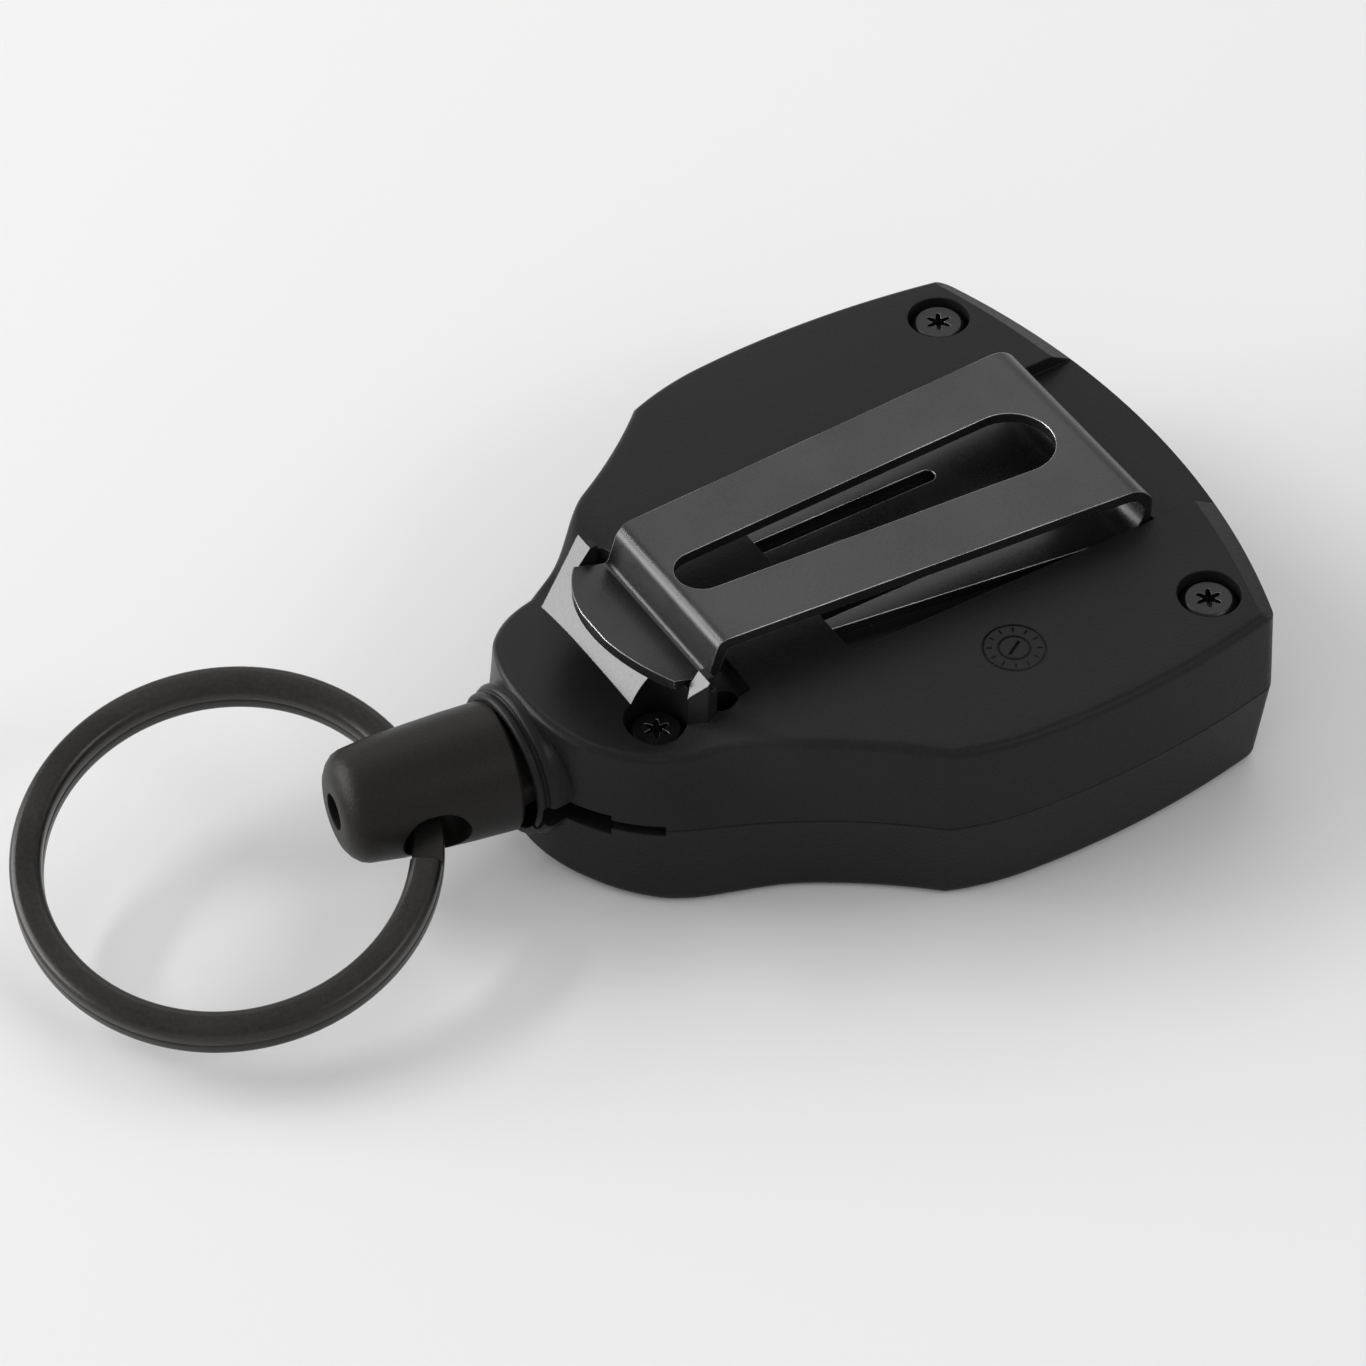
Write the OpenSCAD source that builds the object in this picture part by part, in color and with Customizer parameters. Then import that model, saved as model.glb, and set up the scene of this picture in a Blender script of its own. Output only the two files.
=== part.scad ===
// Retracting key holder with a belt clip, lying on its front face with the clip side up.
// All lengths are in millimetres. X runs from the cord mouth to the wide end, Z is up.

/* [Case outline] */
// wall between the spool chamber and the middle of the wide end
end_wall = 3.5; // [1.5:0.1:12]
// radius of the gently curved wide end
case_end_r = 75; // [40:0.5:120]
// radius of the long side curves
case_side_r = 90; // [50:0.5:150]
// wall of the round body outside the spool chamber, at the parting line
side_wall = 3.15; // [2:0.05:8]
// direction in which the side curve meets the round body
case_side_deg = 94.6; // [88:0.1:105]
// radius of the two corners of the wide end
case_corner_r = 1.8; // [0.8:0.1:4]
// radius of the hollow sweep into the neck
neck_sweep_r = 56; // [30:0.5:90]
// direction in which the round body ends at the sweep
kink_deg = 111.7; // [104:0.1:120]
// how far the centre of the nose curve lies inside the chamber wall
nose_inset = 3.1; // [0:0.1:8]
// radius of the nose at the parting line
nose_r = 16.6; // [11:0.1:22]

/* [Case heights] */
// height of the middle of the back
back_z = 19.1; // [16:0.1:26]
// how much the back falls towards its long edges
back_crown = 0.7; // [0:0.05:2]
// how much the back falls from the crease to the nose
neck_drop = 2.3; // [0:0.1:4]
// extra fall of the neck towards its sides
neck_side_drop = 2.6; // [0:0.1:5]
// height of the parting line
parting_z = 9.45; // [6:0.05:13]
// inward draft of the back cover wall
cover_draft = 0.35; // [0:0.05:2]
// inward draft of the back cover wall at the nose
nose_draft = 1.7; // [0.5:0.05:3]
// inward draft of the front housing wall
housing_draft = 1.3; // [0:0.05:2]
// radius of the rounded rim of the back cover
cover_rim_r = 1.3; // [0.5:0.1:3]
// radius of the rounded rim at the nose
nose_rim_r = 2.2; // [1:0.1:4]
// radius of the rounded rim of the front housing
housing_rim_r = 1.5; // [0.5:0.1:3]
// width of the sloping band along the wide end
end_band_w = 2.4; // [0.5:0.1:4]
// depth of the sloping band along the wide end
end_band_h = 1.5; // [0.2:0.05:2]

/* [Case inside] */
// thickness of the front wall
front_wall = 1.8; // [1.2:0.1:3]
// room between the spool flanges and the chamber wall
spool_gap = 1; // [0.4:0.05:3]
// height of the chamber ceiling
ceiling_z = 15.2; // [12:0.1:20]
// width of the locating lip of the back cover
lip_w = 0.7; // [0.4:0.05:1.2]
// height of the locating lip
lip_h = 0.9; // [0.4:0.05:2]
// play around the locating lip
lip_play = 0.1; // [0.05:0.01:0.3]

/* [Mouth] */
// height of the mouth axis
mouth_z = 10.5; // [8:0.1:14]
// how far the collar of the mouth stands out from the nose
mouth_proud = 0.3; // [0:0.05:3]
// radius of the mouth collar
collar_r = 7.3; // [5:0.1:9]
// radius of the bore that holds the mouth bush
bush_r = 4.3; // [3:0.1:6]
// length of the mouth bush
bush_len = 3.2; // [2:0.1:6]
// radius of the hole in the mouth bush
bush_hole_r = 1.5; // [0.8:0.1:2.5]
// height of the side slot at the parting line
side_slot_h = 2.1; // [0.6:0.1:3]
// depth of the side slot
side_slot_d = 2.2; // [0.8:0.1:3]

/* [Clip seat] */
// distance from the spool axis to the closed end of the clip pocket
pocket_x = 11.1; // [8:0.1:16]
// half the width of the clip pocket
pocket_hw = 11.5; // [8:0.1:15]
// height of the pocket floor
pocket_z = 16.7; // [14:0.1:22]
// distance from the spool axis to the foot of the ramp
ramp_foot_x = 30.4; // [26:0.1:36]
// distance from the spool axis to the front of the ear tops
ear_front_x = 25.9; // [22:0.1:32]
// distance from the spool axis to the back of the ears
ear_back_x = 24.9; // [20:0.1:30]
// height of the ear tops
ear_z = 22.4; // [18:0.1:28]
// distance from the middle to the outside of an ear
ear_out_y = 11.2; // [8:0.1:15]
// distance from the middle to the inside of an ear
ear_in_y = 9.1; // [6:0.1:13]

/* [Belt clip] */
// thickness of the clip strip
clip_t = 1.1; // [0.6:0.05:2]
// height of the clip's top at the wide end
clip_end_z = 23; // [20:0.1:28]
// height of the clip's top at the step before the tongue
clip_step_z = 23.9; // [20:0.1:28]
// distance from the spool axis to the outside of the bend
clip_bend_x = 21.5; // [15:0.1:26]
// distance from the spool axis to the step before the tongue
clip_step_x = 22.6; // [18:0.1:28]
// distance from the spool axis to the tip of the tongue
tongue_x = 29.9; // [25:0.1:36]
// height of the top of the tongue's tip
tongue_z = 21.5; // [18:0.1:26]
// height of the top of the valley behind the tongue
valley_z = 20.3; // [17:0.1:25]
// half the width of the clip at the bend
clip_wide_hw = 11; // [7:0.1:15]
// half the width of the clip at the step
clip_narrow_hw = 8.7; // [6:0.1:12]
// half the width of the tongue
tongue_hw = 8.5; // [6:0.1:12]
// half the width of the inner leaf's end
leaf_end_hw = 7.1; // [5:0.1:10]

/* [Small parts] */
// radius of the screw heads
screw_head_r = 2.65; // [1.8:0.05:4]
// height of the screw heads
screw_head_h = 1.7; // [1:0.1:3]
// radius of the screw shanks
screw_r = 1.35; // [0.8:0.05:2]
// length of the screw shanks
screw_len = 10.5; // [6:0.1:16]
// radius of the counterbores
counterbore_r = 2.9; // [2:0.05:4.5]
// distance from the chamber wall to the axes of the wide end screws
wide_screw_out = 4; // [3:0.1:8]
// direction of the wide end screws from the spool axis
wide_screw_deg = 47.5; // [35:0.5:60]
// distance from the middle plane to the neck screw
neck_screw_y = 7.5; // [5:0.1:10]
// distance from the centre of the nose curve to the neck screw along X
neck_screw_run = 6.4; // [4:0.1:9]
// radius of the rivet head
rivet_head_r = 2.1; // [1.2:0.1:4]
// radius of the rivet shank
rivet_r = 1.2; // [0.7:0.1:2]
// distance from the spool axis to the rivet
rivet_x = 4.3; // [4:0.1:7]

/* [Spool] */
// radius of the axle
axle_r = 2.5; // [1.5:0.05:4]
// radial running clearance of the turning parts
run_play = 0.05; // [0.02:0.01:0.1]
// radius of the spool flanges
spool_r = 24.6; // [18:0.1:33]
// radius of the winding drum
drum_r = 20; // [14:0.1:28]
// wall thickness of the drum
drum_wall = 1.4; // [0.8:0.1:3]
// thickness of the spool flanges
flange_t = 1.1; // [0.6:0.1:2]
// thickness of the spring strip
spring_t = 0.35; // [0.2:0.01:0.6]
// distance between two turns of the spring
spring_pitch = 1.05; // [0.8:0.01:1.5]
// radius of the spring arbor
arbor_r = 5; // [3.5:0.1:7]

/* [Key end] */
// length of the ring holder outside the case
holder_len = 16.5; // [10:0.1:24]
// largest radius of the ring holder
holder_r = 6; // [4:0.1:9]
// radius of the ring holder near its end
holder_end_r = 5.2; // [3:0.1:8]
// distance from the case side of the holder to the middle of the slot
slot_at = 8.9; // [6:0.1:14]
// half the length of the slot
slot_half_len = 3.15; // [2:0.05:5]
// half the width of the slot
slot_half_w = 2.65; // [1.5:0.05:4]
// sideways turn of the holder as it lies
holder_yaw = 9.5; // [0:0.1:20]
// roll of the holder as it lies
holder_roll = 11.1; // [0:0.1:20]
// downward pitch of the ring as it lies
ring_pitch = 7.1; // [0:0.1:12]
// outer radius of the split ring
ring_r = 19.05; // [12:0.05:26]
// width of the ring wire measured from outside to inside
ring_w = 2.85; // [1.5:0.05:4]
// height of both coils of the ring together
ring_h = 3.5; // [2:0.05:5]

/* [Hidden] */
fine = 96;
mid = 48;
deg_full = 360;
deg_half = 180;
deg_quarter = 90;
deg_three_quarter = 270;
eps_share = 0.002;
chamber_r = spool_r + spool_gap;
case_r = chamber_r + side_wall;
case_end_x = chamber_r + end_wall;
nose_x = chamber_r - nose_inset;
mouth_x = nose_x + nose_r + mouth_proud;
wide_screw_x = (chamber_r + wide_screw_out) * cos(wide_screw_deg);
wide_screw_y = (chamber_r + wide_screw_out) * sin(wide_screw_deg);
neck_screw_x = nose_x + neck_screw_run;
eps = case_r * eps_share;

// Case outline
end_c = [case_end_x - case_end_r, 0];
side_c = -(case_side_r - case_r) * [cos(case_side_deg), sin(case_side_deg)];
nose_c = [-nose_x, 0];
function unit(v) = v / norm(v);
function meet(a, ra, b, rb, s) = let (
  d = norm(b - a),
  u = (b - a) / d,
  l = (ra * ra - rb * rb + d * d) / (2 * d),
  h = sqrt(max(0, ra * ra - l * l))) a + u * l + s * h * [-u[1], u[0]];
function dir(a, b) = atan2(b[1] - a[1], b[0] - a[0]);
function arc(c, r, a, b, n) = [for (i = [0:n - 1]) c + r * [cos(a + (b - a) * i / n), sin(a + (b - a) * i / n)]];
kink_at = case_r * [cos(kink_deg), sin(kink_deg)];
sweep_c = meet(kink_at, neck_sweep_r, nose_c, nose_r + neck_sweep_r, -1);
sweep_b = dir(sweep_c, nose_c);
corner_n = 5;
end_n = 5;
side_n = 7;
body_n = 6;
sweep_n = 8;
nose_n = 11;
function even_line(d) = let (
  k = meet([0, 0], case_r - d, sweep_c, neck_sweep_r + d, -1),
  cc = meet(end_c, case_end_r - d - case_corner_r, side_c, case_side_r - d - case_corner_r, 1),
  ae = dir(end_c, cc),
  as = dir(side_c, cc)) concat(
  arc(end_c, case_end_r - d, 0, ae, end_n),
  arc(cc, case_corner_r, ae, as, corner_n),
  arc(side_c, case_side_r - d, as, case_side_deg, side_n),
  arc([0, 0], case_r - d, case_side_deg, dir([0, 0], k), body_n),
  arc(sweep_c, neck_sweep_r + d, dir(sweep_c, k), sweep_b, sweep_n),
  arc(nose_c, nose_r - d, sweep_b + deg_half, deg_half, nose_n),
  [[-nose_x - nose_r + d, 0]]);
half_n = end_n + corner_n + side_n + body_n + sweep_n + nose_n;
part_line = even_line(0);
blend_x_share = 0.74;
blend_len_share = 0.26;
nose_share = [for (p = part_line) max(0, min(1, (-case_r * blend_x_share - p[0]) / (case_r * blend_len_share)))];
function half_line(d, e) = let (a = even_line(d), b = even_line(e)) [for (i = [0:half_n]) a[i] + (b[i] - a[i]) * nose_share[i]];
function full_line(d, e) = let (h = half_line(d, e)) concat(h, [for (i = [half_n - 1:-1:1]) [h[i][0], -h[i][1]]]);
function full_share(i) = i <= half_n ? nose_share[i] : nose_share[2 * half_n - i];
ring_n = 2 * half_n;
crease_i = end_n + corner_n + side_n + body_n + 4;
crease_x = half_line(cover_draft + cover_rim_r, nose_draft + nose_rim_r)[crease_i][0];
neck_len = nose_x + nose_r + crease_x;
barrel_end_share = 0.64;
barrel_fall = 1.6;
barrel_y_share = 0.5;
barrel_y = case_r * barrel_y_share;
function slope_at(x) = max(0, (crease_x - x) / neck_len);
function barrel_at(x, s) = max(0, min(1, (-case_r * blend_x_share - x) / (case_r * blend_len_share))) * (1 - max(0, s - barrel_end_share) * barrel_fall);
function top_at(x, y) = back_z - neck_drop * slope_at(x) - back_crown * pow(y / case_r, 2)
  - neck_side_drop * barrel_at(x, slope_at(x)) * pow(y / barrel_y, 4);

rim_steps = 5;
cols = 10;
module cover_blank() {
  rings = concat(
    [[0, 0, 0, 0, 0]],
    [for (i = [0:rim_steps]) let (t = deg_quarter * i / rim_steps, c = 1 - cos(t), u = 1 - sin(t)) [1, cover_draft + cover_rim_r * c, nose_draft + nose_rim_r * c, cover_rim_r * u, nose_rim_r * u]]);
  nl = len(rings);
  side_pts = [for (r = rings) let (line = full_line(r[1], r[2])) for (i = [0:ring_n - 1]) let (p = line[i], w = full_share(i)) [
    p[0],
    p[1],
    r[0] == 0 ? parting_z : top_at(p[0], p[1]) - r[3] * (1 - w) - r[4] * w]];
  top_line = half_line(rings[nl - 1][1], rings[nl - 1][2]);
  mid_pts = [for (i = [1:half_n - 1]) for (j = [1:cols - 1]) let (x = top_line[i][0], y = top_line[i][1] * (1 - 2 * j / cols)) [x, y, top_at(x, y)]];
  base = nl * ring_n;
  last = (nl - 1) * ring_n;
  function g(i, j) = j == 0 ? last + i : j == cols ? last + ring_n - i : base + (i - 1) * (cols - 1) + j - 1;
  wall = [for (l = [0:nl - 2]) for (p = [0:ring_n - 1]) let (q = (p + 1) % ring_n) each [
    [l * ring_n + p, (l + 1) * ring_n + p, (l + 1) * ring_n + q],
    [l * ring_n + p, (l + 1) * ring_n + q, l * ring_n + q]]];
  cap = [for (i = [1:half_n - 2]) for (j = [0:cols - 1]) each [
    [g(i, j), g(i, j + 1), g(i + 1, j + 1)],
    [g(i, j), g(i + 1, j + 1), g(i + 1, j)]]];
  fan_a = [for (j = [0:cols - 1]) [last, g(1, j + 1), g(1, j)]];
  fan_b = [for (j = [0:cols - 1]) [g(half_n - 1, j), g(half_n - 1, j + 1), last + half_n]];
  polyhedron(points = concat(side_pts, mid_pts), faces = concat([[for (p = [0:ring_n - 1]) p]], wall, cap, fan_a, fan_b));
}
module housing_blank() {
  rings = concat(
    [for (i = [0:rim_steps]) let (t = deg_quarter * i / rim_steps) [housing_draft + housing_rim_r * (1 - sin(t)), housing_rim_r * (1 - cos(t))]],
    [[0, parting_z]]);
  nl = len(rings);
  pts = [for (r = rings) for (p = full_line(r[0], r[0])) [p[0], p[1], r[1]]];
  wall = [for (l = [0:nl - 2]) for (p = [0:ring_n - 1]) let (q = (p + 1) % ring_n) each [
    [l * ring_n + p, (l + 1) * ring_n + p, (l + 1) * ring_n + q],
    [l * ring_n + p, (l + 1) * ring_n + q, l * ring_n + q]]];
  bottom = [for (p = [0:ring_n - 1]) p];
  top = [for (p = [ring_n - 1:-1:0]) (nl - 1) * ring_n + p];
  polyhedron(points = pts, faces = concat([bottom], wall, [top]));
}

// Mouth
groove_share = 0.07;
mouth_lip_share = 2.05;
funnel_share = 0.9;
collar_back_x = mouth_x - bush_len;
ridge_h = collar_r * groove_share;
bush_front_x = mouth_x - bush_len * funnel_share;
bush_back_x = bush_front_x - bush_len;
module along_mouth() {
  translate([0, 0, mouth_z]) rotate([0, -deg_quarter, 0]) children();
}
module collar_form() {
  along_mouth() rotate_extrude($fn = fine) polygon([
    [bush_r, bush_back_x],
    [collar_r, bush_back_x],
    [collar_r, mouth_x - 3.2 * ridge_h],
    [collar_r - ridge_h * 0.25, mouth_x - 2.4 * ridge_h],
    [collar_r - ridge_h * 0.7, mouth_x - 2.3 * ridge_h],
    [collar_r - ridge_h * 0.95, mouth_x - 2.9 * ridge_h],
    [collar_r - ridge_h * 1.25, mouth_x - 0.9 * ridge_h],
    [collar_r - ridge_h * 1.6, mouth_x - 0.3 * ridge_h],
    [collar_r - mouth_lip_share * ridge_h, mouth_x - 0.6 * ridge_h],
    [bush_r, bush_front_x]]);
}
fan_back_hw_share = 0.9;
module mouth_cut() {
  along_mouth() {
    translate([0, 0, bush_back_x]) cylinder(r = bush_r, h = mouth_x, $fn = fine);
    translate([0, 0, bush_front_x]) cylinder(r1 = bush_r, r2 = collar_r - mouth_lip_share * ridge_h, h = mouth_x - 0.6 * ridge_h - bush_front_x, $fn = fine);
  }
  translate([0, 0, mouth_z - bush_hole_r]) linear_extrude(2 * bush_hole_r) polygon([
    [-bush_back_x - eps, bush_hole_r],
    [-bush_back_x - eps, -bush_hole_r],
    [-chamber_r * funnel_share, -bush_r * fan_back_hw_share],
    [-chamber_r * funnel_share, bush_r * fan_back_hw_share]]);
}

// Screws
head_sink_share = 0.6;
neck_sink_share = 2.4;
wide_head_z = top_at(wide_screw_x, wide_screw_y) - screw_head_h * head_sink_share - screw_head_h;
neck_head_z = top_at(-neck_screw_x, neck_screw_y) - screw_head_h * neck_sink_share;
screw_spots = [
  [wide_screw_x, wide_screw_y, wide_head_z],
  [wide_screw_x, -wide_screw_y, wide_head_z],
  [-neck_screw_x, -neck_screw_y, neck_head_z]];
hole_play = lip_play;
lobe_share = 0.48;
lobe_wave_share = 0.14;
torx_steps = 48;
module screw_cut() {
  for (s = screw_spots) translate(s) {
    cylinder(r = counterbore_r, h = back_z, $fn = mid);
    translate([0, 0, -screw_len - hole_play]) cylinder(r = screw_r + hole_play, h = screw_len + back_z, $fn = mid);
  }
}
module screw() {
  difference() {
    union() {
      translate([0, 0, -screw_len]) cylinder(r = screw_r, h = screw_len + eps, $fn = mid);
      rotate_extrude($fn = mid) polygon([
        [0, 0],
        [screw_head_r, 0],
        [screw_head_r, screw_head_h * 0.55],
        [screw_head_r * 0.93, screw_head_h * 0.8],
        [screw_head_r * 0.78, screw_head_h],
        [0, screw_head_h]]);
    }
    translate([0, 0, screw_head_h * 0.4]) linear_extrude(screw_head_h) polygon([
      for (i = [0:torx_steps - 1]) let (a = deg_full * i / torx_steps) screw_head_r * (lobe_share + lobe_wave_share * cos(6 * a) - lobe_wave_share) * [cos(a), sin(a)]]);
  }
}

// Axle stack
seat_share = 0.5;
axle_low_z = front_wall * seat_share;
boss_z = front_wall + 0.7 * eps * 20;
boss_r = axle_r * 1.85;
stack_gap = 0.2 * eps * 18;
washer_t = 0.4 * eps * 18;
lower_washer_z = boss_z;
spool_z = lower_washer_z + washer_t + stack_gap;
spool_top_z = ceiling_z - 2.6 * eps * 18;
upper_washer_z = spool_top_z + stack_gap;
axle_ring_z = upper_washer_z + washer_t;
axle_ring_t = 0.5 * eps * 18;
axle_top_z = axle_ring_z + axle_ring_t + 0.25 * eps * 18;
axle_groove_r = axle_r * 0.84;
hub_r = axle_r * 1.6;
well_r = drum_r - drum_wall;
well_z = spool_z + flange_t;
cap_r = drum_r - drum_wall * 0.5;
cap_z = spool_top_z - flange_t;
spring_low_z = well_z + 0.5 * eps * 18;
spring_high_z = cap_z - 0.5 * eps * 18;
arbor_low_z = well_z + 0.35 * eps * 18;
arbor_high_z = cap_z - 0.35 * eps * 18;

// Back cover
rivet_tail_h = 0.5 * eps * 18;
rivet_washer_t = 0.5 * eps * 18;
rivet_washer_r = rivet_head_r * 1.3;
channel_drop = 1;
channel_z = back_z - end_band_h * channel_drop;
trench_share = 0.5;
trench_z = (pocket_z + back_z) * trench_share;
dial_x_share = 0.05;
dial_y_share = 0.656;
dial_x = case_r * dial_x_share;
dial_y = case_r * dial_y_share;
dial_r = rivet_head_r * 1.38;
tick_n = 12;
tongue_play = 0.4 * eps * 18;
ramp_foot_share = 0.81;
ear_run = clip_t * 0.6;
ear_low_share = 1.05;
ear_low_x = ear_front_x * ear_low_share;
tongue_fall = (tongue_z - valley_z) / (tongue_x - ear_back_x + clip_t * 0.6);
module tongue_shape(grow) {
  arc_c = tongue_x - tongue_arc_r;
  intersection() {
    translate([-arc_c, 0]) circle(r = tongue_arc_r + grow, $fn = 2 * fine);
    translate([-tongue_x - 2 * grow, -tongue_hw - grow]) square([tongue_x - clip_step_x + 2 * grow, 2 * tongue_hw + 2 * grow]);
  }
}
tongue_arc_r = tongue_hw * 1.75;
ramp_slope = (ear_z - top_at(-ramp_foot_x, 0)) / (ramp_foot_x - ear_front_x);
module back_cover() {
  color([0.13, 0.13, 0.14]) difference() {
    union() {
      difference() {
        cover_blank();
        translate([0, 0, back_z]) translate([end_c[0], 0, 0]) rotate([0, 0, -deg_quarter * 0.5]) rotate_extrude(angle = deg_quarter, $fn = 4 * fine) polygon([
          [case_end_r - cover_draft - end_band_w, 0],
          [case_end_r + end_band_w, 0],
          [case_end_r + end_band_w, -end_band_h * 2],
          [case_end_r - cover_draft, -end_band_h]]);
      }
      intersection() {
        collar_form();
        translate([-2 * mouth_x, -mouth_x, parting_z]) cube([2 * mouth_x, 2 * mouth_x, back_z]);
      }
      difference() {
        translate([0, ear_out_y, 0]) rotate([deg_quarter, 0, 0]) linear_extrude(2 * ear_out_y) polygon([
          [-ramp_foot_x - 1.2 / ramp_slope, top_at(-ramp_foot_x, 0) - 1.2],
          [-ear_front_x, ear_z],
          [-ear_back_x, ear_z],
          [-ear_back_x, ceiling_z],
          [-ramp_foot_x, ceiling_z]]);
        for (s = [-1, 1]) scale([1, s, 1]) translate([0, 0, ceiling_z - eps]) linear_extrude(back_z) polygon([
          [-2 * ramp_foot_x, ear_out_y * ramp_foot_share],
          [-ramp_foot_x, ear_out_y * ramp_foot_share],
          [-ear_front_x - ear_run, ear_out_y],
          [-ear_front_x - ear_run, 2 * ear_out_y],
          [-2 * ramp_foot_x, 2 * ear_out_y]]);
        intersection() {
          translate([0, 0, ceiling_z]) linear_extrude(back_z) {
            tongue_shape(tongue_play);
            translate([-ear_low_x, -ear_in_y]) square([back_z, 2 * ear_in_y]);
          }
          translate([0, back_z, 0]) rotate([deg_quarter, 0, 0]) linear_extrude(2 * back_z) polygon([
            [-tongue_x - 2 * clip_t, tongue_z - clip_t - tongue_play + tongue_fall * 2 * clip_t],
            [0, tongue_z - clip_t - tongue_play - tongue_fall * tongue_x],
            [0, 3 * back_z],
            [-tongue_x - 2 * clip_t, 3 * back_z]]);
        }
        for (s = [-1, 1]) translate([-ear_back_x - clip_t * 0.5, s * ear_out_y * 0.93 - (s < 0 ? ear_out_y : 0), ear_z - clip_t]) cube([clip_t * 2, ear_out_y, clip_t * 2]);
      }
      difference() {
        translate([0, 0, parting_z - lip_h]) cylinder(r = chamber_r + lip_w, h = lip_h + eps, $fn = fine);
        translate([0, 0, parting_z - 2 * lip_h]) cylinder(r = chamber_r, h = 4 * lip_h, $fn = fine);
      }
    }
    translate([0, 0, parting_z - 2 * lip_h]) cylinder(r = chamber_r, h = ceiling_z - parting_z + 2 * lip_h, $fn = fine);
    translate([-pocket_x, -pocket_hw, pocket_z]) cube([pocket_x + clip_bend_x + clip_t * 0.5, 2 * pocket_hw, back_z]);
    translate([0, -pocket_hw, channel_z]) cube([3 * case_end_x, 2 * pocket_hw, back_z]);
    translate([-ear_back_x, -ear_out_y * 0.97, trench_z - eps]) cube([clip_t * 3.4, ear_out_y * 1.94, back_z]);
    screw_cut();
    mouth_cut();
    side_slot(1);
    translate([-rivet_x, 0, ceiling_z - eps]) cylinder(r = rivet_r, h = back_z, $fn = mid);
    translate([dial_x, -dial_y, top_at(dial_x, dial_y) - eps * 3]) {
      difference() {
        cylinder(r = dial_r, h = back_z, $fn = mid);
        cylinder(r = dial_r * 0.93, h = back_z, $fn = mid);
        }
      for (i = [0:tick_n - 1]) rotate([0, 0, deg_full * i / tick_n]) translate([dial_r * 0.7, -eps, 0]) cube([dial_r * 0.16, 2 * eps, back_z]);
      difference() {
        cylinder(r = dial_r * 0.52, h = back_z, $fn = mid);
        cylinder(r = dial_r * 0.45, h = back_z, $fn = mid);
      }
      rotate([0, 0, deg_quarter * 0.35]) translate([-dial_r * 0.34, -eps, 0]) cube([dial_r * 0.68, 2 * eps, back_z]);
    }
  }
}

// Front housing
slot_from = 193;
slot_to = 219;
slot_end = 236;
slot_up_share = 0.42;
slot_down_share = 0.66;
slot_low_share = 0.45;
module side_slot(side) {
  h = side > 0 ? side_slot_h * slot_up_share : side_slot_h * slot_down_share;
  translate([-nose_x, 0, parting_z]) scale([1, 1, side]) {
    rotate([0, 0, slot_from]) rotate_extrude(angle = slot_to - slot_from, $fn = fine) polygon([
      [nose_r - side_slot_d, -h],
      [nose_r + side_slot_d, -h],
      [nose_r + side_slot_d, h + side_slot_d * (side > 0 ? 0 : 0.3)],
      [nose_r - housing_draft * 0.4, h],
      [nose_r - side_slot_d, h]]);
    rotate([0, 0, slot_to]) rotate_extrude(angle = slot_end - slot_to, $fn = fine) polygon([
      [nose_r - side_slot_d * 0.6, -h],
      [nose_r + side_slot_d, -h],
      [nose_r + side_slot_d, h * slot_low_share],
      [nose_r - side_slot_d * 0.6, h * slot_low_share]]);
  }
}
module front_housing() {
  color([0.12, 0.12, 0.13]) difference() {
    union() {
      housing_blank();
      intersection() {
        collar_form();
        translate([-2 * mouth_x, -mouth_x, 0]) cube([2 * mouth_x, 2 * mouth_x, parting_z]);
      }
    }
    difference() {
      translate([0, 0, front_wall]) cylinder(r = chamber_r, h = back_z, $fn = fine);
      cylinder(r = boss_r, h = boss_z, $fn = mid);
    }
    translate([0, 0, parting_z - lip_h - lip_play]) cylinder(r = chamber_r + lip_w + lip_play, h = back_z, $fn = fine);
    translate([0, 0, axle_low_z]) cylinder(r = axle_r, h = back_z, $fn = mid);
    screw_cut();
    mouth_cut();
    side_slot(-1);
  }
}

module case_screws() {
  color([0.3, 0.3, 0.32]) for (s = screw_spots) translate(s) screw();
}

// Belt clip
bend_r = (clip_end_z - pocket_z - clip_t) / 2;
bend_c = [clip_bend_x - bend_r - clip_t / 2, pocket_z + clip_t / 2 + bend_r];
leaf_end_x = pocket_x - tongue_play * 0.5;
function fillet_at(a, p, b, r, n) = let (
  u = unit(a - p),
  v = unit(b - p),
  w = acos(u * v),
  t = r / tan(w / 2),
  c = p + unit(u + v) * r / sin(w / 2),
  s = dir(c, p + u * t),
  e = dir(c, p + v * t),
  d = ((e - s + deg_full + deg_half) % deg_full) - deg_half) [for (i = [0:n]) c + r * [cos(s + d * i / n), sin(s + d * i / n)]];
half_t = clip_t / 2;
k_tip = [-tongue_x, tongue_z - half_t];
k_valley = [-ear_back_x + clip_t, valley_z - half_t - clip_t * 0.25];
k_step = [-clip_step_x, clip_step_z - half_t];
k_bend = bend_c + bend_r * [sin(1.3), cos(1.3)];
bend_steps = 22;
strip_path = concat(
  [k_tip],
  fillet_at(k_tip, k_valley, k_step, clip_t, 6),
  fillet_at(k_valley, k_step, k_bend, clip_t * 0.9, 6),
  [for (i = [0:bend_steps]) let (a = 90 - 1.3 - (deg_half - 1.3) * i / bend_steps) bend_c + bend_r * [cos(a), sin(a)]],
  [[-leaf_end_x, pocket_z + half_t]]);
strip_n = len(strip_path);
function strip_dir(i) = unit(i == 0 ? strip_path[1] - strip_path[0] : i == strip_n - 1 ? strip_path[i] - strip_path[i - 1] : unit(strip_path[i + 1] - strip_path[i]) + unit(strip_path[i] - strip_path[i - 1]));
function strip_side(s) = [for (i = [0:strip_n - 1]) let (d = strip_dir(i)) strip_path[i] + s * half_t * [-d[1], d[0]]];
function flip(v) = [for (i = [len(v) - 1:-1:0]) v[i]];
slot_wide_x_share = 0.62;
slot_n = 28;
slot_narrow_x_share = 0.866;
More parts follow.
